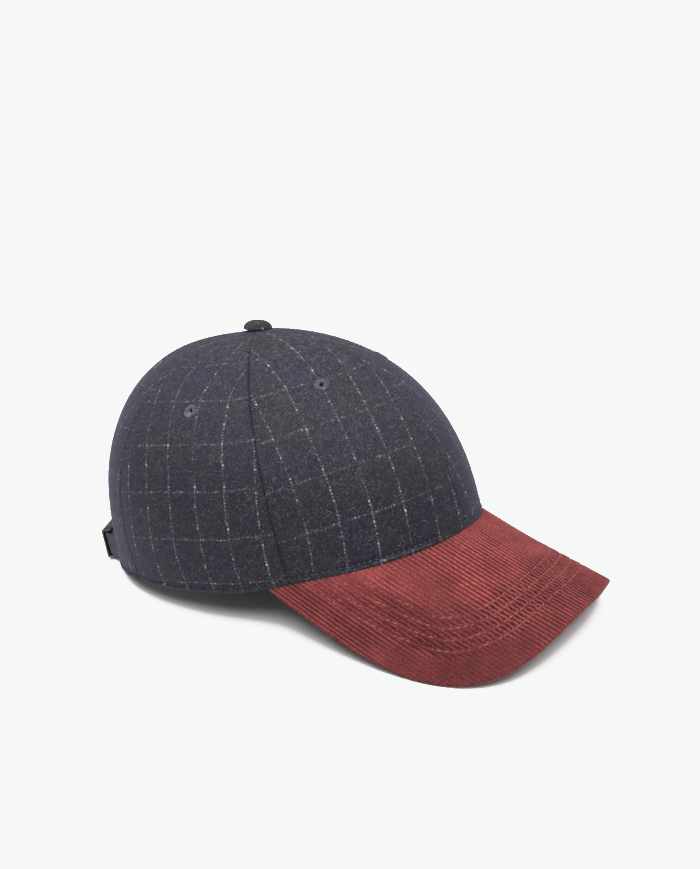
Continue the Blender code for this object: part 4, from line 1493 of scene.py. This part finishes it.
class CAP_OT_hem(bpy.types.Operator):
    """Sew the rim's hem and finish the edge of the opening"""

    bl_idname = "cap.hem"
    bl_label = "Hem Stitching"

    def execute(self, context):
        cloth = context.scene.cap_cloth
        pale = thread_look("pale_thread", (0.045, 0.047, 0.055), 0.2)
        dark = thread_look("dark_thread", (0.015, 0.015, 0.022), 0.2)
        dot = add_stitch("dot", 1.3 * MM, 0.19 * MM, 0.10 * MM)
        stitch = add_stitch("stitch", 2.3 * MM, 0.21 * MM, 0.12 * MM)
        # The hem's one row of stitches takes the paler thread at the front and, on the sides, the darker
        # thread as painted shade of the groove that it lies in
        for name, start, stop, item, thread, seed in (
            ("hem_stitches_front", 0.004, PEAK_END, dot, pale, 3),
            ("hem_stitches_side", PEAK_END, HEM_END, stitch, dark, 5),
        ):
            lines = [crown_line(start, stop, cloth.hem_height, side, -HEM_SUNK) for side in SIDES]
            settle(stitch_run(name, lines, item, HEM_PITCH, thread, seed), "thread")
        guide = add_back_guide()
        round_opening = [opening_line(4.5 * MM, 0.02 * MM)]
        settle(stitch_run("opening_stitches", round_opening, stitch, HEM_PITCH, dark, 9), "thread")
        self.bind_opening()
        for helper in (guide, dot, stitch):
            remove_piece(helper)
        return {"FINISHED"}

    def bind_opening(self):
        """Add the binding round the edge of the opening."""
        middle, normals = opening_line(0.2 * MM, -0.95 * MM)
        outward = np.cross(headings(middle), normals)
        turn = np.linspace(0.0, 2.0 * math.pi, 12, endpoint=False)[None, :, None]
        rings = middle[:, None] + 1.35 * MM * np.cos(turn) * normals[:, None]
        rings = rings + 2.1 * MM * np.sin(turn) * outward[:, None]
        along = run_lengths(middle)[:, None] / LINE_PITCH
        weave = np.stack(np.broadcast_arrays(along, 0.4 + 0.02 * turn[..., 0]), -1)
        mesh = swept_mesh("opening_edge", rings, weave)
        piece = add_piece("opening_edge", mesh, bpy.data.materials["checked_wool"])
        settle(piece, "crown_wool")


# The peak


def peak_outline(count, side):
    """Return x and y of the peak's free edge, from its tip to its end on one side."""
    share = np.linspace(0.0, 1.0, count)[:, None]
    tip = np.array([0.0, -(RIM_HALF_LENGTH + PEAK_LENGTH)])
    end = np.array(rim_plan(PEAK_END))
    tip_handle = tip + np.array([-PEAK_FRONT_REACH, 0.0])
    splay = np.array([-math.sin(PEAK_SIDE_SPLAY), -math.cos(PEAK_SIDE_SPLAY)])
    end_handle = end + PEAK_SIDE_REACH * splay
    edge = cubic(share, tip, tip_handle, end_handle, end)
    edge[:, 0] *= side_sign(side)
    edge[:, 1] += SHOULDER_SETBACK * shoulder(edge[:, 0]) * (1.0 - share[:, 0] ** 4)
    return edge


def to_flat(x, y):
    """Return the peak's developed coordinates: arc across, and distance ahead of the rim."""
    forward = -y - RIM_HALF_LENGTH
    radius = bend_radius(forward)
    return radius * np.arcsin(np.clip(x / radius, -0.999, 0.999)), forward


def from_flat(arc, forward):
    """Return x and y from the peak's developed coordinates."""
    radius = bend_radius(forward)
    return radius * np.sin(arc / radius), -(forward + RIM_HALF_LENGTH)


def peak_surface(arc, forward):
    """Return points of the peak's top from its developed coordinates."""
    x, y = from_flat(arc, forward)
    return np.stack([x, y, peak_height(x, y) - PEAK_GAP], -1)


def peak_normals(arc, forward):
    """Return the upward directions of the peak's top."""
    step = 1e-4
    across = peak_surface(arc + step, forward) - peak_surface(arc - step, forward)
    ahead = peak_surface(arc, forward + step) - peak_surface(arc, forward - step)
    normal = unit(np.cross(ahead, across))
    return normal * np.sign(normal[..., 2:])


def stitch_rows(peak):
    """Return the rows of stitching in developed coordinates, outermost first."""
    halves = {}
    for side in SIDES:
        edge = np.stack(to_flat(*peak_outline(240, side).T), -1)
        ahead = np.abs(headings(edge))
        inward = np.stack([side_sign(side) * ahead[:, 1], -ahead[:, 0]], -1)
        out = np.abs(edge[:, 0])
        halves[side] = edge, inward, ease(out / out.max(), 0.80, 0.20)
    rows = []
    for row in range(peak.row_count):
        parts = {}
        for side, (edge, inward, share) in halves.items():
            gap = peak.row_gap_front + (peak.row_gap_side - peak.row_gap_front) * share
            line = edge + (peak.row_inset + peak.row_turn_in * share + row * gap)[:, None] * inward
            parts[side] = line[beyond_rim(*from_flat(*line.T)) > 0.4 * MM]
        rows.append(np.concatenate([parts["right"][:0:-1], parts["left"]]))
    return rows


def nearest(arc, forward, line):
    """Return the distance from each place on the peak to a line of points."""
    places = np.stack([arc, forward], -1).reshape(-1, 2)
    result = np.empty(len(places))
    for start in range(0, len(places), 4000):
        part = places[start : start + 4000]
        apart = np.linalg.norm(part[:, None] - line[None], axis=2)
        result[start : start + 4000] = apart.min(axis=1)
    return result.reshape(arc.shape)


def patch(arc, forward, across, ahead, turn, along, aside, size):
    """Return a soft patch about a place on the peak, turned and stretched."""
    x, y = arc - across, forward - ahead
    cosine, sine = math.cos(math.radians(turn)), math.sin(math.radians(turn))
    return hump(np.hypot((cosine * x + sine * y) / along, (sine * x - cosine * y) / aside), size)


def rib_place(flat):
    """Return where across the peak a place of the flat cloth comes to lie."""
    return RIB_SPREAD * flat - RIB_EASE * flat**3


def rib_flat(arc):
    """Return the place of the flat cloth that lies at a place across the peak."""
    flat = arc
    for _ in range(8):
        flat = (arc + RIB_EASE * flat**3) / RIB_SPREAD
    return flat


def peak_lattice(peak):
    """Return developed coordinates of the peak's points, in columns that follow the ribs."""
    phases = np.array([0.0, 0.14, 0.32, 0.5, 0.68, 0.86])
    outlines = {side: peak_outline(400, side) for side in SIDES}
    arc, _ = to_flat(*outlines["right"].T)
    widest = np.abs(arc).max() - 0.15 * MM
    ribs = int(widest / peak.rib_pitch) + 1
    columns = rib_place((np.arange(-ribs, ribs)[:, None] + phases).ravel() * peak.rib_pitch)
    columns = np.concatenate([[-widest], columns[np.abs(columns) < widest], [widest]])
    forward = np.linspace(-0.075, PEAK_LENGTH + 0.001, 1500)
    x, y = from_flat(columns[:, None], forward[None, :])
    limits = []
    for side in SIDES:
        order = np.argsort(outlines[side][:, 1])
        edge = outlines[side][order]
        limits.append(np.interp(y, edge[:, 1], np.abs(edge[:, 0]), left=-1.0, right=-1.0))
    inside = (np.abs(x) <= np.where(x < 0.0, *limits)) & (beyond_rim(x, y) >= -PEAK_TUCK)
    first = inside.argmax(axis=1)
    last = inside.shape[1] - 1 - inside[:, ::-1].argmax(axis=1)
    low, high = forward[first], forward[np.maximum(last, first + 2)]
    near = np.array([0.0, 0.15, 0.4, 0.8, 1.3, 1.9]) * MM
    length = (high - low)[:, None]
    close = near * np.minimum(1.0, 0.4 * length / near[-1])
    even = np.linspace(0.0, 1.0, 78)[:-1]
    upper = low[:, None] + (length - close[:, -1:]) * even
    lower = high[:, None] - close[:, ::-1]
    ahead = np.concatenate([upper, lower], axis=1).T
    return np.broadcast_to(columns, ahead.shape).copy(), ahead


class CAP_OT_peak(bpy.types.Operator):
    """Build the corduroy peak with its ribs"""

    bl_idname = "cap.peak"
    bl_label = "Peak"

    def execute(self, context):
        peak = context.scene.cap_peak
        arc, forward = peak_lattice(peak)
        rows = stitch_rows(peak)
        outline = np.concatenate([np.stack(to_flat(*peak_outline(500, side).T), -1) for side in SIDES])
        to_edge = nearest(arc, forward, outline)
        to_row = np.min([nearest(arc, forward, row) for row in rows], axis=0)
        band = 1.0 - ease(nearest(arc, forward, np.concatenate(rows[1:-1])), BAND_REACH, BAND_FADE)
        aside = ease(np.abs(arc), SIDE_PLACE, SIDE_RUN)
        brushed, tone = self.wear_and_shade(arc, forward, band, aside, to_edge)
        phase, own = self.rib_phase(arc, forward, band, peak.rib_pitch)
        ridge = np.abs(np.sin(math.pi * phase)) ** 0.8
        height = peak.rib_height * (0.85 + 0.3 * own) * (1.0 + band * (0.50 - 0.35 * aside))
        height = height * (1.0 - 0.75 * brushed)
        valley = hump(to_row, ROW_WIDTH)
        top = (ridge - 1.0) * height * (1.0 - 0.5 * valley) - ROW_DEPTH * valley
        top = top + BAND_SWELL * band * (1.0 - valley)
        fall = roll_off(to_edge, EDGE_ROLL)
        under = PEAK_THICKNESS + 0.6 * (ridge - 1.0) * height - fall
        points, normals = peak_surface(arc, forward), peak_normals(arc, forward)
        upper = to_world(points + (top - fall)[..., None] * normals)
        lower = to_world(points - under[..., None] * normals)
        nothing = np.zeros_like(band)
        marks = {
            "sewn": (hump(to_row, 0.9 * MM), nothing),
            "brushed": (brushed, 0.3 * brushed),
            "crinkle": (band * aside, nothing),
            # deep: where the grooves take painted shade in the material
            "deep": ((0.35 + 0.65 * band) * (1.0 - aside), nothing),
            "tone": (tone, nothing),
        }
        weave = np.stack([phase, forward], -1)
        keep = np.ones((arc.shape[0] - 1, arc.shape[1] - 1), bool)
        mesh = mend(shell_mesh("corduroy_peak", upper, lower, weave, marks, keep, False))
        settle(add_piece("corduroy_peak", mesh, corduroy_look(peak)), "corduroy", "peak")
        self.sew(peak, rows)
        return {"FINISHED"}

    def rib_phase(self, arc, forward, band, pitch):
        """Return how many ribs from the middle places lie, and a steady random share for each rib."""
        across = rib_flat(arc) / pitch
        own = steady_random(np.floor(across))
        wobble = 0.16 * band * np.sin(forward / (0.75 * MM) + 6.0 * own)
        wobble = wobble + 0.06 * np.sin(forward / (4.0 * MM) + 20.0 * own)
        return across + wobble * np.abs(np.sin(math.pi * across)), own

    def wear_and_shade(self, arc, forward, band, aside, to_edge):
        """Return how flat the pile is brushed, and how much lighter or darker its tone is, partly as painted
        light and shade.
        """
        patches = {name: patch(arc, forward, **place) for name, place in PATCHES.items()}
        to_rim = np.maximum(beyond_rim(*from_flat(arc, forward)), 0.0)
        by_rim = hump(to_rim, 7.0 * MM) * (0.5 + 0.4 * np.sin(90.0 * arc + 1.0))
        by_rim = np.maximum(by_rim, patches["rim"])
        by_edge, hollow = patches["edge"] * (1.0 - band), patches["hollow"] * (1.0 - band)
        margin = 1.0 - ease(to_edge, MARGIN_WIDTH, MARGIN_FADE)
        worn = 0.90 * margin * ease(forward, -0.035, 0.030) * ease(-arc, 0.040, 0.015)
        worn = np.maximum(worn, 0.7 * hump(to_edge, 2.2 * MM))
        brushed = np.max([by_rim, by_edge, 0.6 * patches["crest"], 0.5 * hollow, worn], axis=0)
        near = ease(-arc, NEAR_PLACE, NEAR_RUN) * (1.0 - by_edge)
        streak = hump(to_edge - STREAK_PLACE, STREAK_WIDTH) * (1.0 - 0.7 * ease(forward, -0.010, 0.016))
        # Painted shade: darker low on the near side towards the front
        low = ease(forward, -0.010, 0.014) * ease(-arc, 0.055, 0.014)
        marks = {
            "rim": by_rim,
            "crest": patches["crest"],
            "edge": by_edge,
            "hollow": hollow,
            "margin": margin,
            "near_margin": near * margin,
            "near_streak": near * streak,
            "rows": band,
            "rows_aside": band * aside,
            # Painted light: the sewn band is lighter on the sides, back towards the crown
            "rows_behind": band * aside * ease(-forward, 0.022, 0.014),
            "low": low * (1.0 - by_edge),
        }
        return brushed, sum(PEAK_TONES[name] * mark for name, mark in marks.items())

    def sew(self, peak, rows):
        """Add the rows of stitching."""
        material = thread_look("peak_thread", tuple(peak.thread_colour), 0.1)
        stitch = add_stitch("stitch", peak.stitch_length, peak.stitch_radius, 0.16 * MM)
        lines = []
        for row, line in enumerate(rows):
            normals = peak_normals(line[:, 0], line[:, 1])
            aside = ease(np.abs(line[:, 0]), 0.030, 0.025)
            sunk = aside * (0.6 + 0.4 * np.sin(330.0 * line[:, 1] + 2.3 * row))
            points = peak_surface(line[:, 0], line[:, 1]) - ((0.40 + 0.33 * sunk) * MM)[:, None] * normals
            lines.append((to_world(points), directions_to_world(normals)))
        piece = stitch_run("peak_stitches", lines, stitch, peak.stitch_pitch, material, 21)
        settle(piece, "corduroy")
        remove_piece(stitch)


# Button, eyelets, strap and buckle


class CAP_OT_button(bpy.types.Operator):
    """Build the cloth-covered button on the crown's top"""

    bl_idname = "cap.button"
    bl_label = "Button"

    def execute(self, context):
        cloth, trim = context.scene.cap_cloth, context.scene.cap_trim
        radius, height = trim.button_radius, trim.button_height
        dome = [
            (radius * math.sin(turn) ** 0.88, height * (0.29 + 0.71 * math.cos(turn)))
            for turn in np.linspace(0.0, 0.5 * math.pi, 30)
        ]
        turned_under = [(0.99, 0.22), (0.97, 0.15), (0.92, 0.10), (0.80, 0.06), (0.36, 0.04)]
        foot = [(out * radius, up * height) for out, up in turned_under]
        foot += [(0.36 * radius, -2.0 * MM), (0.0, -2.0 * MM)]
        mesh = turned_mesh("button_cloth", dome + foot, 72, radius / LINE_PITCH)
        for vertex in mesh.vertices:
            x, y, z = vertex.co
            turn = math.atan2(y, x)
            out = math.hypot(x, y) / radius
            if z > 0.0 and out > 0.3:
                fold = 0.012 * math.sin(15.0 * turn + 1.2 * math.sin(3.0 * turn)) * out**4
                fold *= 1.0 - min(max(z / height, 0.0), 1.0) ** 2
                vertex.co = (x * (1.0 + fold), y * (1.0 + fold), z)
            if z > 0.0:
                vertex.co.z += 0.05 * MM * math.sin(900.0 * x) * math.sin(1100.0 * y + 1.0)
        seat = rest_matrix() @ Vector((0.0, TOP_SETBACK, CROWN_HEIGHT))
        mesh.transform(Matrix.Translation(seat) @ BUTTON_AXIS.to_track_quat("Z", "Y").to_matrix().to_4x4())
        dark = tuple(cloth.button_colour)
        look = wool_look("plain_wool", cloth, dark, tuple(0.85 * c for c in dark), False, 0.26)
        settle(add_piece("button_cloth", mesh, look), "button_wool", "button")
        return {"FINISHED"}


class CAP_OT_eyelets(bpy.types.Operator):
    """Sew the six eyelets, with threads set side by side round each hole"""

    bl_idname = "cap.eyelets"
    bl_label = "Eyelets"

    def execute(self, context):
        trim = context.scene.cap_trim
        look = thread_look("eyelet_thread", tuple(trim.eyelet_colour), 0.5)
        outer, hole = trim.eyelet_radius, trim.eyelet_hole
        share = np.linspace(0.0, 1.0, 9)
        arch = 0.50 * MM * np.sin(math.pi * share) ** 0.7 - 0.15 * MM
        path = np.stack([hole + (outer - hole) * share, arch], -1)
        path[0] = (hole, -1.4 * MM)
        thread = add_piece("thread", thread_mesh("thread", path, 0.19 * MM, 5), look)
        tree = ring_tree()
        inside, outside, middle = hole / MM, outer / MM, 0.5 * (hole + outer) / MM
        base = MM * np.array([
            (inside + 0.15, -0.2),
            (inside + 0.35, 0.10),
            (middle, 0.27),
            (outside - 0.45, 0.10),
            (outside - 0.15, -0.35),
            (inside + 0.5, -0.5),
            (inside + 0.5, -2.5),
            (inside + 0.05, -2.5),
            (inside + 0.15, -0.2),
        ])
        values = {"Threads": trim.eyelet_threads, "Thread": thread, "Material": look}
        for number, (panel, side) in enumerate(EACH_PANEL):
            ring = add_piece("ring", turned_mesh("ring", base, 40, 1.0), look)
            threads = add_piece("threads", line_mesh("threads", np.zeros((2, 3)), np.ones((2, 3))), look)
            tree.grow_on(threads, {**values, "Seed": 31 + number})
            piece = join_pieces(f"sewn_eyelet_{panel}_{side}", [ring, threads], look)
            piece.data.shade_smooth()
            piece.data.transform(self.place(panel, side))
            settle(piece, "thread", f"eyelet_{panel}_{side}")
        remove_piece(thread)
        return {"FINISHED"}

    def place(self, panel, side):
        """Return the matrix that stands an eyelet on its panel."""
        angle = np.radians(PANELS[panel]["eyelet_angle"])
        rise = np.array(PANELS[panel]["eyelet_rise"])
        point = on_side(crown_points(angle, rise), side)
        normal = Vector(on_side(crown_normals(angle, rise), side))
        turn = normal.to_track_quat("Z", "Y").to_matrix().to_4x4()
        return rest_matrix() @ Matrix.Translation(Vector(point)) @ turn


def rear_point(along, height, out):
    """Return a point near the back, measured along the rim, up the wall and out from it."""
    angles = np.linspace(math.pi, math.radians(95.0), 80)
    angle = np.interp(abs(along), run_lengths(np.stack(rim_plan(angles), -1)), angles)
    rises = np.linspace(0.0, 0.5, 60)
    heights = crown_points(angle, rises)[:, 2]
    rise = np.interp(height, heights - heights[0], rises)
    point = crown_points(angle, rise) + out * crown_normals(angle, rise)
    return Vector((point[0] if along >= 0.0 else -point[0], point[1], point[2]))


def curve_through(points, count):
    """Return points on a smooth curve through the given ones, evenly spread."""
    ends = [2.0 * points[0] - points[1], *points, 2.0 * points[-1] - points[-2]]
    places = []
    for index in range(count + 1):
        where = index / count * (len(points) - 1)
        span = min(int(where), len(points) - 2)
        share = where - span
        a, b, c, d = ends[span : span + 4]
        bend = (2.0 * a - 5.0 * b + 4.0 * c - d) * share**2
        twist = (3.0 * b - a - 3.0 * c + d) * share**3
        places.append(0.5 * (2.0 * b + (c - a) * share + bend + twist))
    return places


def band_point(place, share):
    """Return a point of a standing band, which leans with the buckle outside the crown."""
    outside = float(ease(-abs(place.x), -OPENING_HALF_WIDTH, BAND_EASE))
    lean = BAND_LEAN * outside * STRAP_WIDTH * (share - 0.5)
    return rear_point(place.x, STRAP_BOTTOM + STRAP_WIDTH * share, place.y + lean)


def buckle_frame():
    """Return the buckle's own axes: X along the strap, Y out from the crown, Z up."""
    turn = Matrix.Rotation(BUCKLE_TURN, 4, "Z")
    lean = Matrix.Rotation(-BUCKLE_LEAN, 4, "X")
    return Matrix.Translation(BUCKLE_CENTRE) @ turn @ lean


def bar_place(bar):
    """Return a bar's place, as (along, out) at the strap's middle height."""
    spot = buckle_frame() @ bar
    height = STRAP_BOTTOM + 0.5 * STRAP_WIDTH
    spans = np.linspace(0.010, 0.045, 176)
    misses = [(rear_point(span, height, 0.0) - spot).xy.length for span in spans]
    best = int(np.argmin(misses))
    return Vector((float(spans[best]), misses[best]))


def add_band(name, route, thickness, material):
    """Return a standing band of cloth with soft edges, along a route of (along, out) places."""
    shares = np.linspace(0.0, 1.0, 9)
    rows = np.array([[tuple(band_point(place, share)) for place in route] for share in shares])
    along, up = run_lengths(rows[4]) / LINE_PITCH, shares[:, None] * STRAP_WIDTH / LEVEL_PITCH
    weave = np.stack(np.broadcast_arrays(along + 0.3, up + 0.2), -1)
    quads = cells(*rows.shape[:2]).reshape(-1, 4)
    mesh = numpy_mesh(name, to_world(rows), quads, {"weave": weave})
    piece = add_piece(name, mesh, material)
    wall = piece.modifiers.new("thickness", "SOLIDIFY")
    wall.thickness = thickness
    wall.offset = 0.0
    add_bevel(piece, 0.35 * thickness, 3, math.radians(50.0))
    plain_mesh(piece)
    piece.data.shade_smooth()
    return piece


class CAP_OT_strap(bpy.types.Operator):
    """Build the strap and the tab that holds the buckle"""

    bl_idname = "cap.strap"
    bl_label = "Strap and Tab"

    def execute(self, context):
        cloth, trim = context.scene.cap_cloth, context.scene.cap_trim
        route = [Vector((place["along"], place["out"])) for place in STRAP_ROUTE]
        route = curve_through(route, 150)
        strap = add_band("strap_cloth", route, STRAP_THICKNESS, bpy.data.materials["checked_wool"])
        settle(strap, "strap_wool", "strap")
        tone = tuple(trim.tab_colour)
        look = wool_look("lining_wool", cloth, tone, tuple(0.8 * c for c in tone), False)
        settle(add_band("tab_cloth", self.tab_route(), TAB_THICKNESS, look), "tab_wool", "strap_tab")
        thread = thread_look("strap_thread", (0.018, 0.019, 0.027), 0.2)
        stitch = add_stitch("stitch", 2.1 * MM, 0.17 * MM, 0.10 * MM)
        lines = [self.edge_line(route, share, 0.62 * MM) for share in STRAP_ROWS]
        seams = stitch_run("strap_stitches", lines, stitch, 2.8 * MM, thread, 41)
        settle(seams, "thread")
        remove_piece(stitch)
        return {"FINISHED"}

    def tab_route(self):
        """Return the tab's route: out round the buckle's bar and back in."""
        bar = bar_place(TAB_BAR)
        radius = BAR_RADIUS + FIT_GAP + 0.5 * TAB_THICKNESS
        entry = Vector((TAB_ENTRY, 0.5 * (TAB_OUTER_LAYER + TAB_INNER_LAYER)))
        heading = math.atan2(entry.y - bar.y, entry.x - bar.x)
        first = [Vector((along, TAB_OUTER_LAYER)) for along in (TAB_END, TAB_MIDDLE, TAB_ENTRY)]
        last = [Vector((along, TAB_INNER_LAYER)) for along in (TAB_ENTRY - 1.0 * MM, TAB_MIDDLE, TAB_END)]
        turns = heading + 0.5 * math.pi + np.linspace(0.0, math.pi, 17)
        loop = [bar + radius * Vector((math.cos(turn), math.sin(turn))) for turn in turns]
        leg_out = [first[-1].lerp(loop[0], share) for share in (0.25, 0.5, 0.75)]
        leg_in = [loop[-1].lerp(last[0], share) for share in (0.25, 0.5, 0.75)]
        return first + leg_out + loop + leg_in + last

    def edge_line(self, route, share, out):
        """Return a line of stitches along the strap's outer face."""
        kept = [place for place in route if abs(place.x) < STRAP_SEWN]
        points = np.array([tuple(band_point(place, share)) for place in kept])
        up = np.array([tuple(band_point(p, 1.0) - band_point(p, 0.0)) for p in kept])
        facing = unit(np.cross(headings(points), up))
        facing *= np.sign(facing[:, 1:2])
        return to_world(points + out * facing), directions_to_world(facing)


class CAP_OT_buckle(bpy.types.Operator):
    """Build the dark metal buckle with its two bars"""

    bl_idname = "cap.buckle"
    bl_label = "Buckle"

    def execute(self, context):
        trim = context.scene.cap_trim
        look = metal_look(trim)
        body = box_mesh("buckle_metal", (BUCKLE_LENGTH, BUCKLE_DEPTH, BUCKLE_WIDTH))
        body.transform(Matrix.Translation((0.0, -0.5 * BUCKLE_DEPTH, 0.0)))
        piece = add_piece("buckle_metal", body, look)
        add_bevel(piece, 0.9 * MM, 5, math.radians(30.0))
        plain_mesh(piece)
        inner = BUCKLE_WIDTH - 2.0 * BUCKLE_FLANGE
        channel = box_mesh("channel", (2.0 * BUCKLE_LENGTH, 2.0 * BUCKLE_DEPTH, inner))
        channel.transform(Matrix.Translation((0.0, -BUCKLE_DEPTH - BUCKLE_PLATE, 0.0)))
        use_tool(piece, add_piece("channel", channel, look), "DIFFERENCE")
        for bar in (TAB_BAR, STRAP_BAR):
            work = bmesh.new()
            bmesh.ops.create_cone(
                work, cap_ends=True, segments=20, radius1=BAR_RADIUS, radius2=BAR_RADIUS,
                depth=inner + BUCKLE_FLANGE,
            )
            rod = mesh_of(work, "rod")
            rod.transform(Matrix.Translation(bar))
            use_tool(piece, add_piece("rod", rod, look), "UNION")
        add_bevel(piece, 0.12 * MM, 2, math.radians(40.0))
        plain_mesh(piece)
        piece.data.transform(rest_matrix() @ buckle_frame())
        piece.data.shade_smooth()
        piece.data.set_sharp_from_angle(angle=math.radians(35.0))
        settle(piece, "buckle_metal", "buckle")
        return {"FINISHED"}


# The stage


def sky_direction(azimuth, elevation):
    """Return the direction from the cap to a place round and above it."""
    level = math.cos(elevation)
    return Vector((math.sin(azimuth) * level, -math.cos(azimuth) * level, math.sin(elevation)))


class CAP_OT_stage(bpy.types.Operator):
    """Set the floor, the light and the camera"""

    bl_idname = "cap.stage"
    bl_label = "Stage"

    def execute(self, context):
        stage = context.scene.cap_stage
        scene = context.scene
        scene.view_settings.view_transform = "Standard"
        look = Look("floor", 0.9, 0.1)
        grain = look.noise(0.9, 1.0)
        tone = tuple(stage.floor_colour)
        floor_look = look.finish(look.mix(grain, tone, tuple(1.004 * c for c in tone)))
        work = bmesh.new()
        bmesh.ops.create_grid(work, x_segments=1, y_segments=1, size=0.5 * stage.floor_size)
        add_piece("floor", mesh_of(work, "floor"), floor_look)
        world = bpy.data.worlds.new("sky")
        world.use_nodes = True
        sky = world.node_tree.nodes["Background"]
        sky.inputs["Color"].default_value = (1.0, 1.0, 1.0, 1.0)
        sky.inputs["Strength"].default_value = stage.sky
        scene.world = world
        lamp = bpy.data.lights.new("lamp", "SUN")
        lamp.energy = stage.lamp
        lamp.angle = stage.lamp_angle
        sun = bpy.data.objects.new("lamp", lamp)
        sun.rotation_mode = "QUATERNION"
        away = sky_direction(stage.lamp_azimuth, stage.lamp_elevation)
        sun.rotation_quaternion = away.to_track_quat("Z", "Y")
        scene.collection.objects.link(sun)
        self.set_white(scene, stage)
        self.add_camera(scene, stage)
        return {"FINISHED"}

    def set_white(self, scene, stage):
        """Hold the picture's brightest tone at the paper's white, as a bright floor is printed."""
        view = scene.view_settings
        view.use_curve_mapping = True
        mapping = view.curve_mapping
        mapping.extend = "HORIZONTAL"
        for curve, white in zip(mapping.curves, stage.paper_white):
            curve.points[1].location = (1.0, white)
            for tone in PRINT_CURVE:
                curve.points.new(*tone)
            for point in curve.points:
                point.handle_type = "VECTOR"
        mapping.update()

    def add_camera(self, scene, stage):
        """Add the camera, aimed straight at its target."""
        back = sky_direction(stage.azimuth, stage.elevation)
        right = Vector((math.cos(stage.azimuth), math.sin(stage.azimuth), 0.0))
        up = back.cross(right)
        target = stage.aside * right + stage.above * up + Vector((0.0, REST_SHIFT, REST_LIFT))
        camera = bpy.data.cameras.new("camera")
        camera.sensor_fit = "HORIZONTAL"
        camera.sensor_width = 36.0
        camera.lens = stage.focal
        holder = bpy.data.objects.new("camera", camera)
        turn = Matrix((right, up, back)).transposed().to_4x4()
        holder.matrix_world = Matrix.Translation(target + stage.distance * back) @ turn
        scene.collection.objects.link(holder)
        scene.camera = holder


class CAP_PT_tools(bpy.types.Panel):
    """List the steps that build the cap"""

    bl_idname = "CAP_PT_tools"
    bl_label = "Cap"
    bl_space_type = "VIEW_3D"
    bl_region_type = "UI"
    bl_category = "Cap"

    def draw(self, context):
        column = self.layout.column(align=True)
        for step in STEPS:
            column.operator(step.bl_idname)
        for group in (context.scene.cap_cloth, context.scene.cap_peak, context.scene.cap_trim):
            box = self.layout.box()
            for key in group.bl_rna.properties.keys():
                if key not in {"rna_type", "name"}:
                    box.prop(group, key)


SETTINGS = {"cap_cloth": CapCloth, "cap_peak": CapPeak, "cap_trim": CapTrim, "cap_stage": CapStage}
STEPS = (
    CAP_OT_stage,
    CAP_OT_crown,
    CAP_OT_nap,
    CAP_OT_hem,
    CAP_OT_peak,
    CAP_OT_button,
    CAP_OT_eyelets,
    CAP_OT_strap,
    CAP_OT_buckle,
)


def register():
    """Register the settings, the steps and the panel."""
    for name, group in SETTINGS.items():
        bpy.utils.register_class(group)
        setattr(bpy.types.Scene, name, PointerProperty(type=group))
    for step in STEPS:
        bpy.utils.register_class(step)
    bpy.utils.register_class(CAP_PT_tools)


def unregister():
    """Unregister everything again."""
    bpy.utils.unregister_class(CAP_PT_tools)
    for step in reversed(STEPS):
        bpy.utils.unregister_class(step)
    for name, group in SETTINGS.items():
        delattr(bpy.types.Scene, name)
        bpy.utils.unregister_class(group)


def main():
    """Build the whole cap."""
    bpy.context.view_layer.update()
    register()
    for item in list(bpy.data.objects):
        if item.type in {"CAMERA", "LIGHT"} or item.name == "Cube":
            bpy.data.objects.remove(item)
    bpy.ops.cap.stage()
    bpy.ops.cap.crown()
    bpy.ops.cap.nap()
    bpy.ops.cap.hem()
    bpy.ops.cap.peak()
    bpy.ops.cap.button()
    bpy.ops.cap.eyelets()
    bpy.ops.cap.strap()
    bpy.ops.cap.buckle()


if __name__ == "__main__":
    main()
